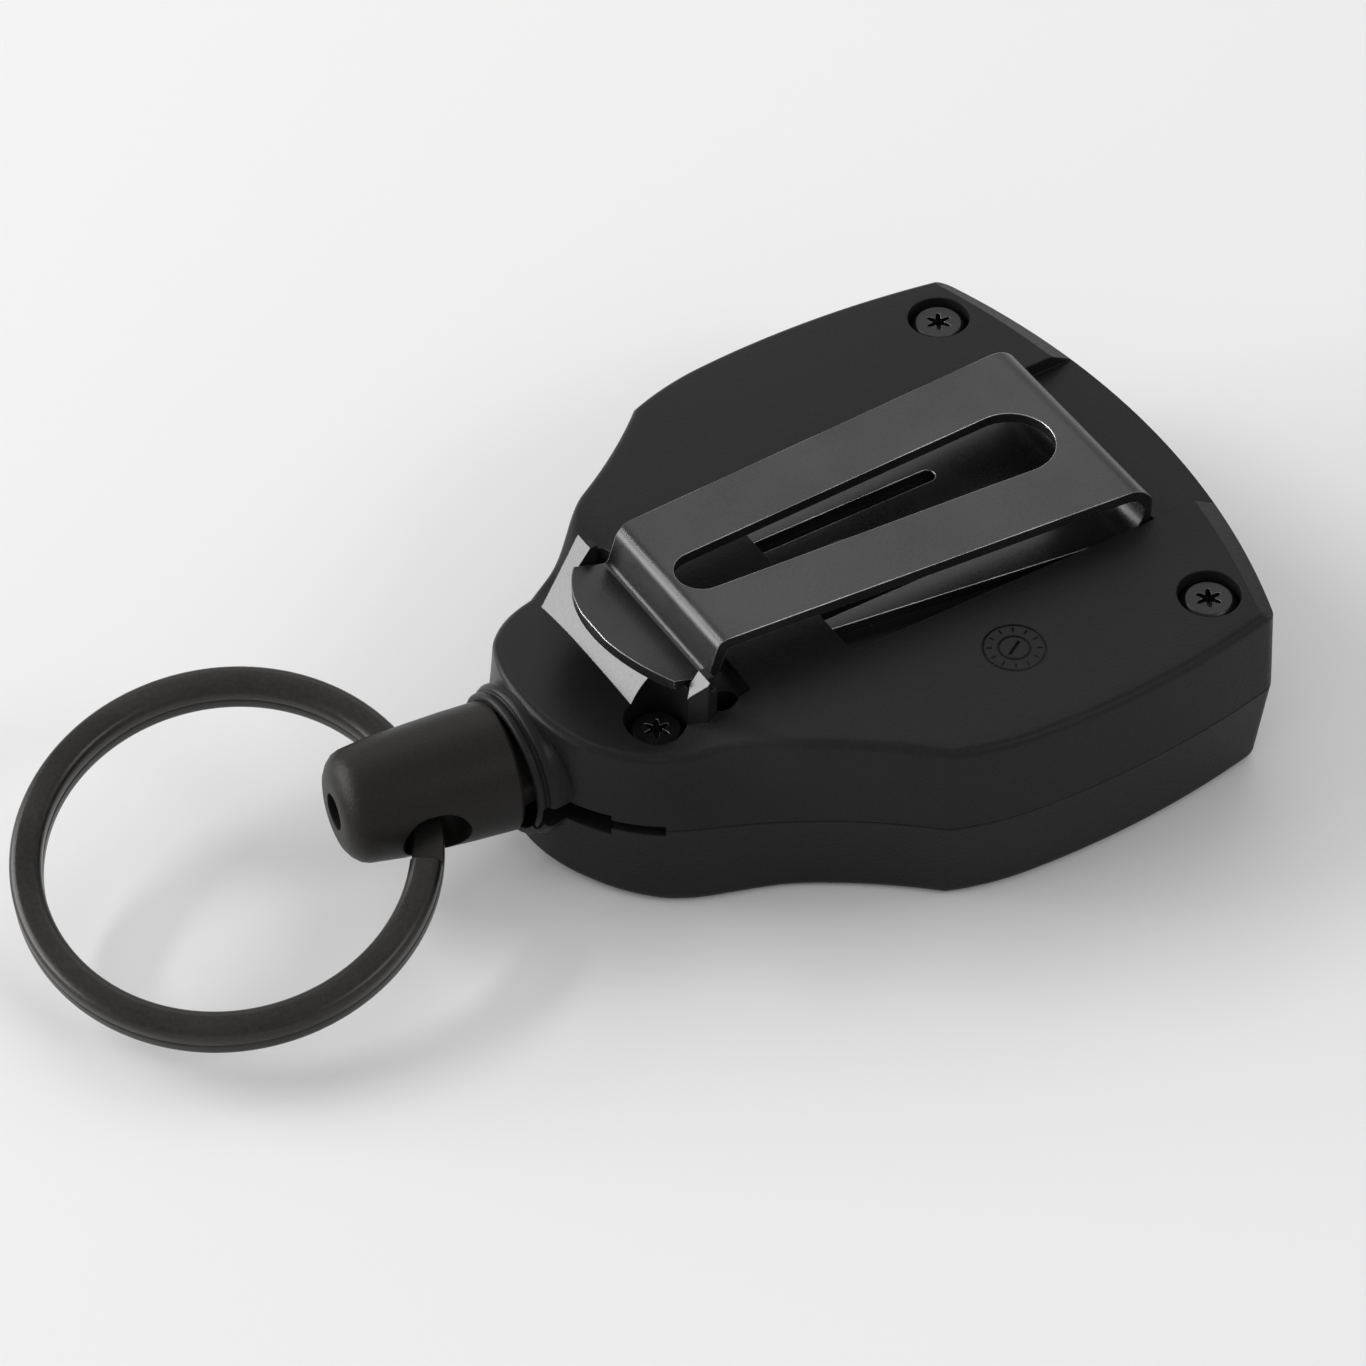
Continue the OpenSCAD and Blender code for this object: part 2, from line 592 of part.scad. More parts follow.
module long_slot() {
  x1 = -clip_step_x * slot_narrow_x_share;
  r1 = clip_narrow_hw * 0.285;
  x2 = clip_bend_x * slot_wide_x_share;
  r2 = clip_wide_hw * 0.365;
  t = acos((r1 - r2) / (x2 - x1));
  polygon(concat(
    arc([x2, 0], r2, -t, t, slot_n),
    [[x2, 0] + r2 * [cos(t), sin(t)]],
    arc([x1, 0], r1, t, deg_full - t, slot_n),
    [[x1, 0] + r1 * [cos(t), -sin(t)]]));
}
leaf_slot_y = leaf_end_hw * 0.72;
leaf_slot_r = clip_t * 0.72;
module belt_clip() {
  big = 3 * clip_bend_x;
  color([0.2, 0.2, 0.22]) difference() {
    translate([0, clip_wide_hw, 0]) rotate([deg_quarter, 0, 0]) linear_extrude(2 * clip_wide_hw) polygon(concat(strip_side(1), flip(strip_side(-1))));
    translate([0, 0, bend_c[1]]) linear_extrude(back_z) difference() {
      translate([-big, -big]) square([2 * big, 2 * big]);
      tongue_shape(0);
      polygon([
        [-ear_front_x, tongue_hw * 0.98],
        [-clip_step_x - clip_t, tongue_hw * 0.97],
        [-clip_step_x, clip_narrow_hw * 0.985],
        [-clip_step_x * 0.97, clip_narrow_hw],
        [bend_c[0], clip_wide_hw],
        [clip_bend_x - clip_t * 0.4, clip_wide_hw],
        [clip_bend_x + clip_t, clip_wide_hw - clip_t],
        [clip_bend_x + clip_t, -clip_wide_hw + clip_t],
        [clip_bend_x - clip_t * 0.4, -clip_wide_hw],
        [bend_c[0], -clip_wide_hw],
        [-clip_step_x * 0.97, -clip_narrow_hw],
        [-clip_step_x, -clip_narrow_hw * 0.985],
        [-clip_step_x - clip_t, -tongue_hw * 0.97],
        [-ear_front_x, -tongue_hw * 0.98]]);
    }
    translate([0, 0, pocket_z - clip_t]) linear_extrude(bend_c[1] - pocket_z + clip_t + eps) difference() {
      translate([-big, -big]) square([2 * big, 2 * big]);
      polygon([
        [-big, leaf_end_hw],
        [-leaf_end_x, leaf_end_hw],
        [bend_c[0], clip_wide_hw],
        [clip_bend_x - clip_t * 0.4, clip_wide_hw],
        [clip_bend_x + clip_t, clip_wide_hw - clip_t],
        [clip_bend_x + clip_t, -clip_wide_hw + clip_t],
        [clip_bend_x - clip_t * 0.4, -clip_wide_hw],
        [bend_c[0], -clip_wide_hw],
        [-leaf_end_x, -leaf_end_hw],
        [-big, -leaf_end_hw]]);
    }
    translate([0, 0, bend_c[1]]) linear_extrude(back_z) long_slot();
    for (s = [-1, 1]) translate([0, s * leaf_slot_y, pocket_z - clip_t]) {
      translate([-big, -leaf_slot_r, 0]) cube([big + clip_wide_hw * 0.7, 2 * leaf_slot_r, 3 * clip_t]);
      translate([clip_wide_hw * 0.7, 0, 0]) cylinder(r = leaf_slot_r, h = 3 * clip_t, $fn = mid);
    }
    translate([-rivet_x, 0, pocket_z - clip_t]) cylinder(r = rivet_r, h = 3 * clip_t, $fn = mid);
  }
}
module clip_rivet() {
  top = pocket_z + clip_t;
  color([0.35, 0.35, 0.37]) translate([-rivet_x, 0, 0]) difference() {
    union() {
      translate([0, 0, ceiling_z - rivet_washer_t - eps]) cylinder(r = rivet_r, h = top - ceiling_z + rivet_washer_t + 2 * eps, $fn = mid);
      translate([0, 0, ceiling_z - rivet_washer_t - rivet_tail_h]) cylinder(r1 = rivet_r * 1.3, r2 = rivet_r * 1.5, h = rivet_tail_h, $fn = mid);
      translate([0, 0, top]) rotate_extrude($fn = mid) polygon([
        [0, 0],
        [rivet_head_r, 0],
        [rivet_head_r * 0.97, clip_t * 0.25],
        [rivet_head_r * 0.75, clip_t * 0.5],
        [rivet_head_r * 0.4, clip_t * 0.6],
        [0, clip_t * 0.6]]);
    }
    translate([-rivet_head_r * 0.2, -eps * 1.5, top + clip_t * 0.3]) cube([rivet_head_r, eps * 3, clip_t]);
  }
}
module rivet_washer() {
  color([0.6, 0.6, 0.6]) translate([-rivet_x, 0, ceiling_z - rivet_washer_t]) difference() {
    cylinder(r = rivet_washer_r, h = rivet_washer_t, $fn = mid);
    translate([0, 0, -rivet_washer_t]) cylinder(r = rivet_r, h = 3 * rivet_washer_t, $fn = mid);
  }
}

// Axle, arbor and washers
module axle() {
  color([0.7, 0.7, 0.72]) rotate_extrude($fn = mid) polygon([
    [0, axle_low_z],
    [axle_r, axle_low_z],
    [axle_r, axle_ring_z],
    [axle_groove_r, axle_ring_z],
    [axle_groove_r, axle_ring_z + axle_ring_t],
    [axle_r, axle_ring_z + axle_ring_t],
    [axle_r * 0.9, axle_top_z],
    [0, axle_top_z]]);
}
arbor_slot_w = 3 * spring_t;
module spring_arbor() {
  color([0.75, 0.7, 0.6]) translate([0, 0, arbor_low_z]) difference() {
    cylinder(r = arbor_r, h = arbor_high_z - arbor_low_z, $fn = mid);
    translate([0, 0, -arbor_r]) cylinder(r = axle_r, h = 4 * arbor_r, $fn = mid);
    translate([axle_r * 1.3, -arbor_slot_w / 2, -arbor_r]) cube([arbor_r, arbor_slot_w, 4 * arbor_r]);
  }
}
module ring_plate(r_out, r_in, t) {
  difference() {
    cylinder(r = r_out, h = t, $fn = mid);
    translate([0, 0, -t]) cylinder(r = r_in, h = 3 * t, $fn = mid);
  }
}
module axle_washers() {
  color([0.8, 0.78, 0.7]) {
    translate([0, 0, lower_washer_z]) ring_plate(boss_r, axle_r, washer_t);
    translate([0, 0, upper_washer_z]) ring_plate(boss_r, axle_r, washer_t);
  }
}
module axle_ring() {
  color([0.4, 0.4, 0.42]) translate([0, 0, axle_ring_z]) difference() {
    ring_plate(boss_r * 0.92, axle_groove_r, axle_ring_t);
    translate([0, -axle_groove_r * 0.8, -axle_ring_t]) cube([boss_r, axle_groove_r * 1.6, 3 * axle_ring_t]);
  }
}
module mouth_bush() {
  color([0.75, 0.6, 0.3]) along_mouth() rotate_extrude($fn = mid) polygon([
    [bush_hole_r, bush_back_x + bush_len * 0.3],
    [bush_hole_r + bush_len * 0.25, bush_back_x],
    [bush_r, bush_back_x],
    [bush_r, bush_front_x],
    [bush_hole_r + bush_len * 0.25, bush_front_x],
    [bush_hole_r, bush_front_x - bush_len * 0.3]]);
}

// Spool and spring
spring_in_r = arbor_r + spring_t * 1.6;
spring_out_r = well_r - spring_t * 2.4;
spring_turns = floor((spring_out_r - spring_in_r - spring_t) / spring_pitch);
turn_steps = 24;
spring_pts = spring_turns * turn_steps;
function spring_line(d) = [for (i = [0:spring_pts]) let (a = deg_full * i / turn_steps) (spring_in_r + d + spring_pitch * i / turn_steps) * [cos(a), sin(a)]];
spring_end_r = spring_in_r + spring_pitch * spring_turns;
tab_w = spring_t;
spring_self_gap = min([for (i = [0:spring_pts - turn_steps]) norm(spring_line(0)[i + turn_steps]) - norm(spring_line(spring_t)[i])]);
echo("least gap of the power spring to itself", spring_self_gap);
module power_spring() {
  color([0.45, 0.47, 0.5]) translate([0, 0, spring_low_z]) linear_extrude(spring_high_z - spring_low_z) polygon(concat(
    spring_line(0),
    [[spring_end_r, tab_w], [well_r + drum_wall * 0.35, tab_w], [well_r + drum_wall * 0.35, 0]],
    flip(spring_line(spring_t)),
    [[spring_in_r + spring_t, -tab_w], [axle_r * 1.4, -tab_w], [axle_r * 1.4, 0]]));
}
module spool() {
  color([0.85, 0.83, 0.78]) difference() {
    rotate_extrude($fn = fine) polygon([
      [hub_r, spool_z],
      [spool_r, spool_z],
      [spool_r, spool_z + flange_t],
      [drum_r, spool_z + flange_t],
      [drum_r, cap_z],
      [spool_r, cap_z],
      [spool_r, spool_top_z],
      [cap_r, spool_top_z],
      [cap_r, cap_z],
      [well_r, cap_z],
      [well_r, well_z],
      [hub_r, well_z]]);
    translate([well_r * 0.97, -tab_w, spring_low_z - flange_t * 0.3]) cube([well_r * 0.03 + drum_wall * 0.6, tab_w * 3, spring_high_z - spring_low_z + flange_t * 0.6]);
    translate([0, (drum_r + spool_r) / 2, -spool_z]) cylinder(r = bush_hole_r * 0.6, h = 4 * spool_z, $fn = mid);
  }
}
module spool_cap() {
  color([0.8, 0.78, 0.72]) translate([0, 0, cap_z]) ring_plate(cap_r, hub_r, flange_t);
}
module spool_bushings() {
  color([0.75, 0.6, 0.3]) {
    translate([0, 0, spool_z]) ring_plate(hub_r, axle_r + run_play, flange_t);
    translate([0, 0, cap_z]) ring_plate(hub_r, axle_r + run_play, flange_t);
  }
}

// Key end, drawn along X from the case side of the holder
holder_start = mouth_x + holder_r * 0.0235;
plug_r = holder_r * 0.72;
plug_len = holder_r * 0.42;
tail_len = holder_r * 0.35;
tail_r = holder_r * 0.6;
stem_r = holder_r * 0.27;
ferrule_r = plug_r * 0.55;
ferrule_len = holder_r * 0.28;
end_hole_r = holder_r * 0.285;
cord_hole_r = stem_r * 0.55;
nib = eps * 5;
module at_holder() {
  translate([-holder_start, 0, mouth_z]) rotate([0, 0, deg_half - holder_yaw]) rotate([-holder_roll, 0, 0]) children();
}
module turned() {
  rotate([0, deg_quarter, 0]) rotate_extrude($fn = fine) children();
}
module ring_holder() {
  color([0.14, 0.14, 0.15]) at_holder() difference() {
    turned() polygon([
      [plug_r, 0],
      [holder_r * 0.95, 0],
      [holder_r, holder_r * 0.07],
      [holder_r * 0.985, holder_len * 0.3],
      [(holder_r + holder_end_r) / 2, holder_len * 0.7],
      [holder_end_r, holder_len * 0.885],
      [holder_end_r * 0.95, holder_len * 0.925],
      [holder_end_r * 0.85, holder_len * 0.96],
      [holder_end_r * 0.71, holder_len * 0.988],
      [holder_end_r * 0.58, holder_len],
      [end_hole_r, holder_len],
      [end_hole_r, slot_at],
      [ferrule_r + run_play, slot_at],
      [ferrule_r + run_play, plug_len],
      [plug_r, plug_len]]);
    translate([slot_at, 0, 0]) rotate([deg_quarter, 0, 0]) translate([0, 0, -2 * holder_r]) linear_extrude(4 * holder_r) {
      flat = slot_half_len - slot_half_w;
      for (s = [-1, 1]) translate([s * flat, 0]) circle(r = slot_half_w, $fn = mid);
      translate([-flat, -slot_half_w]) square([2 * flat, 2 * slot_half_w]);
    }
  }
}
module holder_plug() {
  color([0.16, 0.16, 0.17]) at_holder() turned() polygon([
    [stem_r + run_play, -tail_len],
    [tail_r, -tail_len],
    [plug_r, 0],
    [plug_r, plug_len],
    [stem_r + run_play, plug_len]]);
}
module cord_ferrule() {
  color([0.72, 0.72, 0.74]) at_holder() turned() polygon([
    [cord_hole_r, -tail_len - nib],
    [stem_r, -tail_len - nib],
    [stem_r, plug_len + nib * 0.4],
    [ferrule_r, plug_len + nib * 0.4],
    [ferrule_r, plug_len + nib * 0.4 + ferrule_len],
    [cord_hole_r, plug_len + nib * 0.4 + ferrule_len]]);
}
ring_mid_r = ring_r - ring_w / 2;
ring_soft = ring_w * 0.12;
ring_line_h = ring_h * 0.035;
wire_deg = 208;
module ring_place() {
  at_holder() translate([slot_at, 0, 0]) rotate([0, ring_pitch, 0]) translate([ring_mid_r, 0, 0]) children();
}
module split_ring() {
  color([0.25, 0.25, 0.27]) ring_place() difference() {
    rotate_extrude($fn = 2 * fine) polygon([
      [ring_r - ring_w + ring_soft, -ring_h / 2],
      [ring_r - ring_soft, -ring_h / 2],
      [ring_r, -ring_h / 2 + ring_soft],
      [ring_r, -ring_line_h],
      [ring_r - ring_soft, 0],
      [ring_r, ring_line_h],
      [ring_r, ring_h / 2 - ring_soft],
      [ring_r - ring_soft, ring_h / 2],
      [ring_r - ring_w + ring_soft, ring_h / 2],
      [ring_r - ring_w, ring_h / 2 - ring_soft],
      [ring_r - ring_w, ring_line_h],
      [ring_r - ring_w + ring_soft, 0],
      [ring_r - ring_w, -ring_line_h],
      [ring_r - ring_w, -ring_h / 2 + ring_soft]]);
    rotate([0, 0, wire_deg]) translate([0, -ring_soft, 0]) cube([2 * ring_r, 2 * ring_soft, ring_h]);
    rotate([0, 0, deg_half - wire_deg]) translate([0, -ring_soft, -ring_h]) cube([2 * ring_r, 2 * ring_soft, ring_h]);
  }
}

front_housing();
back_cover();
case_screws();
belt_clip();
clip_rivet();
rivet_washer();
axle();
spring_arbor();
axle_washers();
axle_ring();
mouth_bush();
spool();
spool_cap();
spool_bushings();
power_spring();
cord_ferrule();
ring_holder();
holder_plug();
split_ring();
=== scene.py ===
import math
import bpy
import bmesh
from mathutils import Vector, Matrix


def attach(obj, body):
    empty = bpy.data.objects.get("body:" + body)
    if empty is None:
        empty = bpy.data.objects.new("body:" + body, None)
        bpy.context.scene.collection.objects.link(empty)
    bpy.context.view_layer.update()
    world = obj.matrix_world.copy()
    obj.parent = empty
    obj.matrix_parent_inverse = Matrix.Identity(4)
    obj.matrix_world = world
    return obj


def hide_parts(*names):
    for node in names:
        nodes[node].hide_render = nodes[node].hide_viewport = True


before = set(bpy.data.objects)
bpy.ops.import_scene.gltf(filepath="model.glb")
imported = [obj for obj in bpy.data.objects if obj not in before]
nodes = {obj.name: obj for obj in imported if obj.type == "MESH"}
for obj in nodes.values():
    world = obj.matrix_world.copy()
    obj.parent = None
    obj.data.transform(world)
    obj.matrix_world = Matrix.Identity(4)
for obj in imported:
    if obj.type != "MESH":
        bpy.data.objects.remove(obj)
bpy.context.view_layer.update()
MM = 0.001
rad = math.radians

# Camera at the photograph's angle
CAM_AT = (-0.2395, -0.3516, 0.4188)
CAM_TILT, CAM_TURN = 45.4, -31.8
cam_data = bpy.data.cameras.new("camera")
cam_data.sensor_fit = "HORIZONTAL"
cam_data.sensor_width = 36.0
cam_data.lens = 171.3
cam_data.clip_start = 0.01
cam_data.clip_end = 20.0
cam = bpy.data.objects.new("camera", cam_data)
cam.location = CAM_AT
cam.rotation_euler = (rad(CAM_TILT), 0.0, rad(CAM_TURN))
bpy.context.scene.collection.objects.link(cam)
bpy.context.scene.camera = cam


# Outline of the case, the same arcs as in the part's source, in millimetres
END_X, END_R, SIDE_R, CASE_R = 29.1, 75.0, 90.0, 28.75
SIDE_DEG, CORNER_R, SWEEP_R, KINK_DEG, NOSE_X, NOSE_R = 94.6, 1.8, 56.0, 111.7, 22.5, 16.6
BACK_Z, BACK_CROWN = 19.1, 0.7
# Parting line, drafts and rims; the drafts and rims were set from the photograph
PART_Z, COVER_DRAFT, NOSE_DRAFT, HOUSE_DRAFT, HOUSE_NOSE = 9.45, 0.3, 2.3, 0.9, 0.2
COVER_RIM, NOSE_RIM, HOUSE_RIM = 0.85, 0.75, 1.2
MOUTH_Z, HOLDER_START = 10.5, 39.54
# Where the cover's wall starts to lean in at the neck, and where it stands up again at the nose
LEAN_FROM, LEAN_RUN = 20.5, 8.0
UPRIGHT_FROM, UPRIGHT_RUN, UPRIGHT_SHARE = 31.5, 5.5, 0.88
# The valley in front of the ramp and the rise from it to the nose
VALLEY_X, VALLEY_LOW, VALLEY_DIP, VALLEY_FROM = 29.8, 16.5, 0.5, 20.5
EAR_REACH = 12.0
NOSE_TOP, NOSE_RUN, NOSE_POWER = 17.95, 8.3, 1.5


def mm(*point):
    return Vector(point) * MM


def around(turn, r=1.0):
    return r * Vector((math.cos(turn), math.sin(turn)))


def meet(a, ra, b, rb, s):
    d = (b - a).length
    u = (b - a) / d
    l = (ra * ra - rb * rb + d * d) / (2 * d)
    h = math.sqrt(max(0.0, ra * ra - l * l))
    return a + u * l + s * h * Vector((-u.y, u.x))


def angle(a, b):
    return math.atan2(b.y - a.y, b.x - a.x)


def arc(c, r, a, b, n):
    return [c + around(a + (b - a) * i / n, r) for i in range(n)]


ORIGIN = Vector((0.0, 0.0))
END_C = Vector((END_X - END_R, 0.0))
SIDE_C = -around(rad(SIDE_DEG), SIDE_R - CASE_R)
NOSE_C = Vector((-NOSE_X, 0.0))
KINK = around(rad(KINK_DEG), CASE_R)
SWEEP_C = meet(KINK, SWEEP_R, NOSE_C, NOSE_R + SWEEP_R, -1)
SWEEP_B = angle(SWEEP_C, NOSE_C) % (2 * math.pi)
HALF_STEPS = (22, 8, 20, 16, 30, 36)
HALF_N = sum(HALF_STEPS)


def even_line(d):
    """Half of the outline, set in by d: from the middle of the wide end to the tip of the nose."""
    cc = meet(END_C, END_R - d - CORNER_R, SIDE_C, SIDE_R - d - CORNER_R, 1)
    k = meet(ORIGIN, CASE_R - d, SWEEP_C, SWEEP_R + d, -1)
    ae = angle(END_C, cc)
    sa = angle(SIDE_C, cc)
    n = HALF_STEPS
    pts = arc(END_C, END_R - d, 0.0, ae, n[0])
    pts += arc(cc, CORNER_R, ae, sa, n[1])
    pts += arc(SIDE_C, SIDE_R - d, sa, rad(SIDE_DEG), n[2])
    pts += arc(ORIGIN, CASE_R - d, rad(SIDE_DEG), angle(ORIGIN, k), n[3])
    pts += arc(SWEEP_C, SWEEP_R + d, angle(SWEEP_C, k) % (2 * math.pi), SWEEP_B, n[4])
    pts += arc(NOSE_C, NOSE_R - d, SWEEP_B - math.pi, math.pi, n[5])
    pts.append(Vector((-NOSE_X - NOSE_R + d, 0.0)))
    return pts


def clamp(t):
    return max(0.0, min(1.0, t))


def soft_step(t):
    t = clamp(t)
    return t * t * (3 - 2 * t)


def nose_share(x):
    """How far the wall leans in: most at the pinched flanks of the neck, little at the nose's tip."""
    upright = clamp((-x - UPRIGHT_FROM) / UPRIGHT_RUN)
    return soft_step((-x - LEAN_FROM) / LEAN_RUN) * (1.0 - UPRIGHT_SHARE * upright)


NOSE_SHARE = [nose_share(p.x) for p in even_line(0.0)]


def half_line(d, e):
    """Half of the outline, set in by d at the body and by e where the wall leans in."""
    a = even_line(d)
    if d == e:
        return a
    return [p + (q - p) * w for p, q, w in zip(a, even_line(e), NOSE_SHARE)]


def full_line(d, e=None):
    h = half_line(d, d if e is None else e)
    return h + [Vector((h[i].x, -h[i].y)) for i in range(HALF_N - 1, 0, -1)]


FULL_SHARE = NOSE_SHARE + [NOSE_SHARE[i] for i in range(HALF_N - 1, 0, -1)]


def top_at(x, y):
    """Height of the back: level over the body, down to the ramp's foot and up again to the nose."""
    body = BACK_Z - BACK_CROWN * (y / CASE_R) ** 2
    low = VALLEY_LOW - VALLEY_DIP * min(1.0, (abs(y) / EAR_REACH) ** 3)
    if x > -VALLEY_X:
        return body + (low - body) * soft_step((-x - VALLEY_FROM) / (VALLEY_X - VALLEY_FROM))
    rise = (max(0.0, -x - VALLEY_X) / NOSE_RUN) ** NOSE_POWER
    return low + (NOSE_TOP - low) * min(1.0, rise)


def new_object(name, bm):
    mesh = bpy.data.meshes.new(name)
    bm.to_mesh(mesh)
    bm.free()
    obj = bpy.data.objects.new(name, mesh)
    bpy.context.scene.collection.objects.link(obj)
    return obj


def solid_object(name, bm):
    bmesh.ops.recalc_face_normals(bm, faces=bm.faces)
    return new_object(name, bm)


def smooth_by_angle(obj, deg):
    bm = bmesh.new()
    bm.from_mesh(obj.data)
    for f in bm.faces:
        f.smooth = True
    for e in bm.edges:
        e.smooth = len(e.link_faces) == 2 and e.calc_face_angle(0.0) <= rad(deg)
    bm.to_mesh(obj.data)
    bm.free()


def in_order(bm):
    """Sorts a mesh by place: operators leave the order open, and the booleans' cuts depend on it."""
    for parts, place in (
            (bm.verts, lambda v: tuple(v.co)),
            (bm.edges, lambda e: sorted(tuple(v.co) for v in e.verts)),
            (bm.faces, lambda f: sorted(tuple(v.co) for v in f.verts))):
        for k, part in enumerate(sorted(parts, key=place)):
            part.index = k
        parts.sort()


def walls(bm, rows):
    """Quads between each closed row of vertices and the next."""
    for a, b in zip(rows, rows[1:]):
        for i in range(len(a)):
            j = (i + 1) % len(a)
            bm.faces.new((a[i], a[j], b[j], b[i]))


def ring_loft(name, rings, cap_cols=0):
    """Closed body through rings of points in mm, low to high; cap_cols quads lie across the back."""
    bm = bmesh.new()
    rows = [[bm.verts.new(mm(*p)) for p in r] for r in rings]
    walls(bm, rows)
    bm.faces.new(list(reversed(rows[0])))
    top = rows[-1]
    if not cap_cols:
        bm.faces.new(top)
        return solid_object(name, bm)
    grid = [[top[0]] * (cap_cols + 1)]
    for i in range(1, HALF_N):
        left, right = top[i], top[len(top) - i]
        x, y0 = left.co.x / MM, left.co.y / MM
        row = [left]
        for j in range(1, cap_cols):
            y = y0 * (1 - 2 * j / cap_cols)
            row.append(bm.verts.new(mm(x, y, top_at(x, y))))
        grid.append(row + [right])
    for a, b in zip(grid[1:], grid[2:]):
        for j in range(cap_cols):
            bm.faces.new((a[j], b[j], b[j + 1], a[j + 1]))
    for j in range(cap_cols):
        bm.faces.new((top[0], grid[1][j], grid[1][j + 1]))
        bm.faces.new((grid[-1][j], top[HALF_N], grid[-1][j + 1]))
    return solid_object(name, bm)


def push_face(name, start, end):
    """The flat outline start pushed out until its corners stand at end; both are points in mm."""
    bm = bmesh.new()
    outline = bm.faces.new([bm.verts.new(mm(*p)) for p in start])
    pushed = bmesh.ops.extrude_face_region(bm, geom=[outline])
    far = [e for e in pushed["geom"] if isinstance(e, bmesh.types.BMFace)][0]
    goal = {tuple(mm(*p)): mm(*q) for p, q in zip(start, end)}
    for v in far.verts:
        v.co = goal[tuple(v.co)]
    in_order(bm)
    return solid_object(name, bm)


def prism_xz(name, pts, y0, y1):
    return push_face(name, [(x, y0, z) for x, z in pts], [(x, y1, z) for x, z in pts])


def prism_xy(name, pts, z0, z1):
    return push_face(name, [(x, y, z0) for x, y in pts], [(x, y, z1) for x, y in pts])


def box(name, x0, x1, y0, y1, z0, z1):
    return prism_xy(name, [(x0, y0), (x1, y0), (x1, y1), (x0, y1)], z0, z1)


# Points of a spun profile that lie closer than this, in metres, are the one point on its axis
SAME_POINT = 0.0000005


def turned(name, pts, place, steps=96, closed=True):
    """A profile of (radius, height) in mm spun about the local Z of the matrix place, also in mm."""
    bm = bmesh.new()
    line = [bm.verts.new((place @ Vector((r, 0.0, h))) * MM) for r, h in pts]
    edges = [bm.edges.new(pair) for pair in zip(line, line[1:])]
    if closed:
        edges.append(bm.edges.new((line[-1], line[0])))
    bmesh.ops.spin(bm, geom=line + edges, cent=place.translation * MM, axis=place.to_3x3().col[2],
                   angle=2 * math.pi, steps=steps, use_merge=True)
    in_order(bm)
    bmesh.ops.remove_doubles(bm, verts=bm.verts, dist=SAME_POINT)
    in_order(bm)
    return solid_object(name, bm)


def sector(name, pts, a0, a1, steps=24):
    """A closed profile of (radius, height) in mm swept about the nose's upright axis."""
    bm = bmesh.new()
    c, s = math.cos(rad(a0)), math.sin(rad(a0))
    first = bm.faces.new([bm.verts.new(mm(-NOSE_X + r * c, r * s, h)) for r, h in pts])
    bmesh.ops.spin(bm, geom=[first], cent=mm(-NOSE_X, 0.0, 0.0), axis=(0.0, 0.0, 1.0),
                   angle=rad(a1 - a0), steps=steps)
    in_order(bm)
    return solid_object(name, bm)


def cylinder(name, x, y, r, z0, z1, steps=64):
    profile = [(0.0, z0), (r, z0), (r, z1), (0.0, z1)]
    return turned(name, profile, Matrix.Translation((x, y, 0.0)), steps, closed=False)


def tube(name, x, y, r0, r1, z0, z1, steps):
    profile = [(r0, z0), (r1, z0), (r1, z1), (r0, z1)]
    return turned(name, profile, Matrix.Translation((x, y, 0.0)), steps)


def combine(target, others, operation):
    """Exact booleans with each of the others in turn, applied, and the others removed."""
    for other in others:
        mod = target.modifiers.new("cut", "BOOLEAN")
        mod.operation = operation
        mod.solver = "EXACT"
        mod.object = other
    dg = bpy.context.evaluated_depsgraph_get()
    mesh = bpy.data.meshes.new_from_object(target.evaluated_get(dg))
    old = target.data
    target.modifiers.clear()
    target.data = mesh
    bpy.data.meshes.remove(old)
    for other in others:
        data = other.data
        bpy.data.objects.remove(other)
        bpy.data.meshes.remove(data)
    return target


# Materials
def new_material(name):
    mat = bpy.data.materials.new(name)
    mat.use_nodes = True
    tree = mat.node_tree
    tree.nodes.clear()
    out = tree.nodes.new("ShaderNodeOutputMaterial")
    bsdf = tree.nodes.new("ShaderNodeBsdfPrincipled")
    tree.links.new(bsdf.outputs["BSDF"], out.inputs["Surface"])
    return mat, tree, bsdf


def noise(tree, coords, scale, detail=2.0, rough=0.5):
    n = tree.nodes.new("ShaderNodeTexNoise")
    n.inputs["Scale"].default_value = scale
    n.inputs["Detail"].default_value = detail
    n.inputs["Roughness"].default_value = rough
    tree.links.new(coords, n.inputs["Vector"])
    return n.outputs["Fac"]


def map_range(tree, value, a, b, c, d):
    n = tree.nodes.new("ShaderNodeMapRange")
    n.inputs["From Min"].default_value = a
    n.inputs["From Max"].default_value = b
    n.inputs["To Min"].default_value = c
    n.inputs["To Max"].default_value = d
    tree.links.new(value, n.inputs["Value"])
    return n.outputs["Result"]


def maths(tree, op, a, b):
    n = tree.nodes.new("ShaderNodeMath")
    n.operation = op
    for k, v in enumerate((a, b)):
        if isinstance(v, (int, float)):
            n.inputs[k].default_value = v
        else:
            tree.links.new(v, n.inputs[k])
    return n.outputs[0]


def mix_color(tree, fac, a, b):
    n = tree.nodes.new("ShaderNodeMix")
    n.data_type = "RGBA"
    tree.links.new(fac, n.inputs["Factor"])
    for key, v in (("A", a), ("B", b)):
        sock = [s for s in n.inputs if s.name == key and s.type == "RGBA"][0]
        if isinstance(v, tuple):
            sock.default_value = v
        else:
            tree.links.new(v, sock)
    return [s for s in n.outputs if s.type == "RGBA"][0]


def rounded(tree, radius):
    n = tree.nodes.new("ShaderNodeBevel")
    n.samples = 6
    n.inputs["Radius"].default_value = radius
    return n.outputs["Normal"]


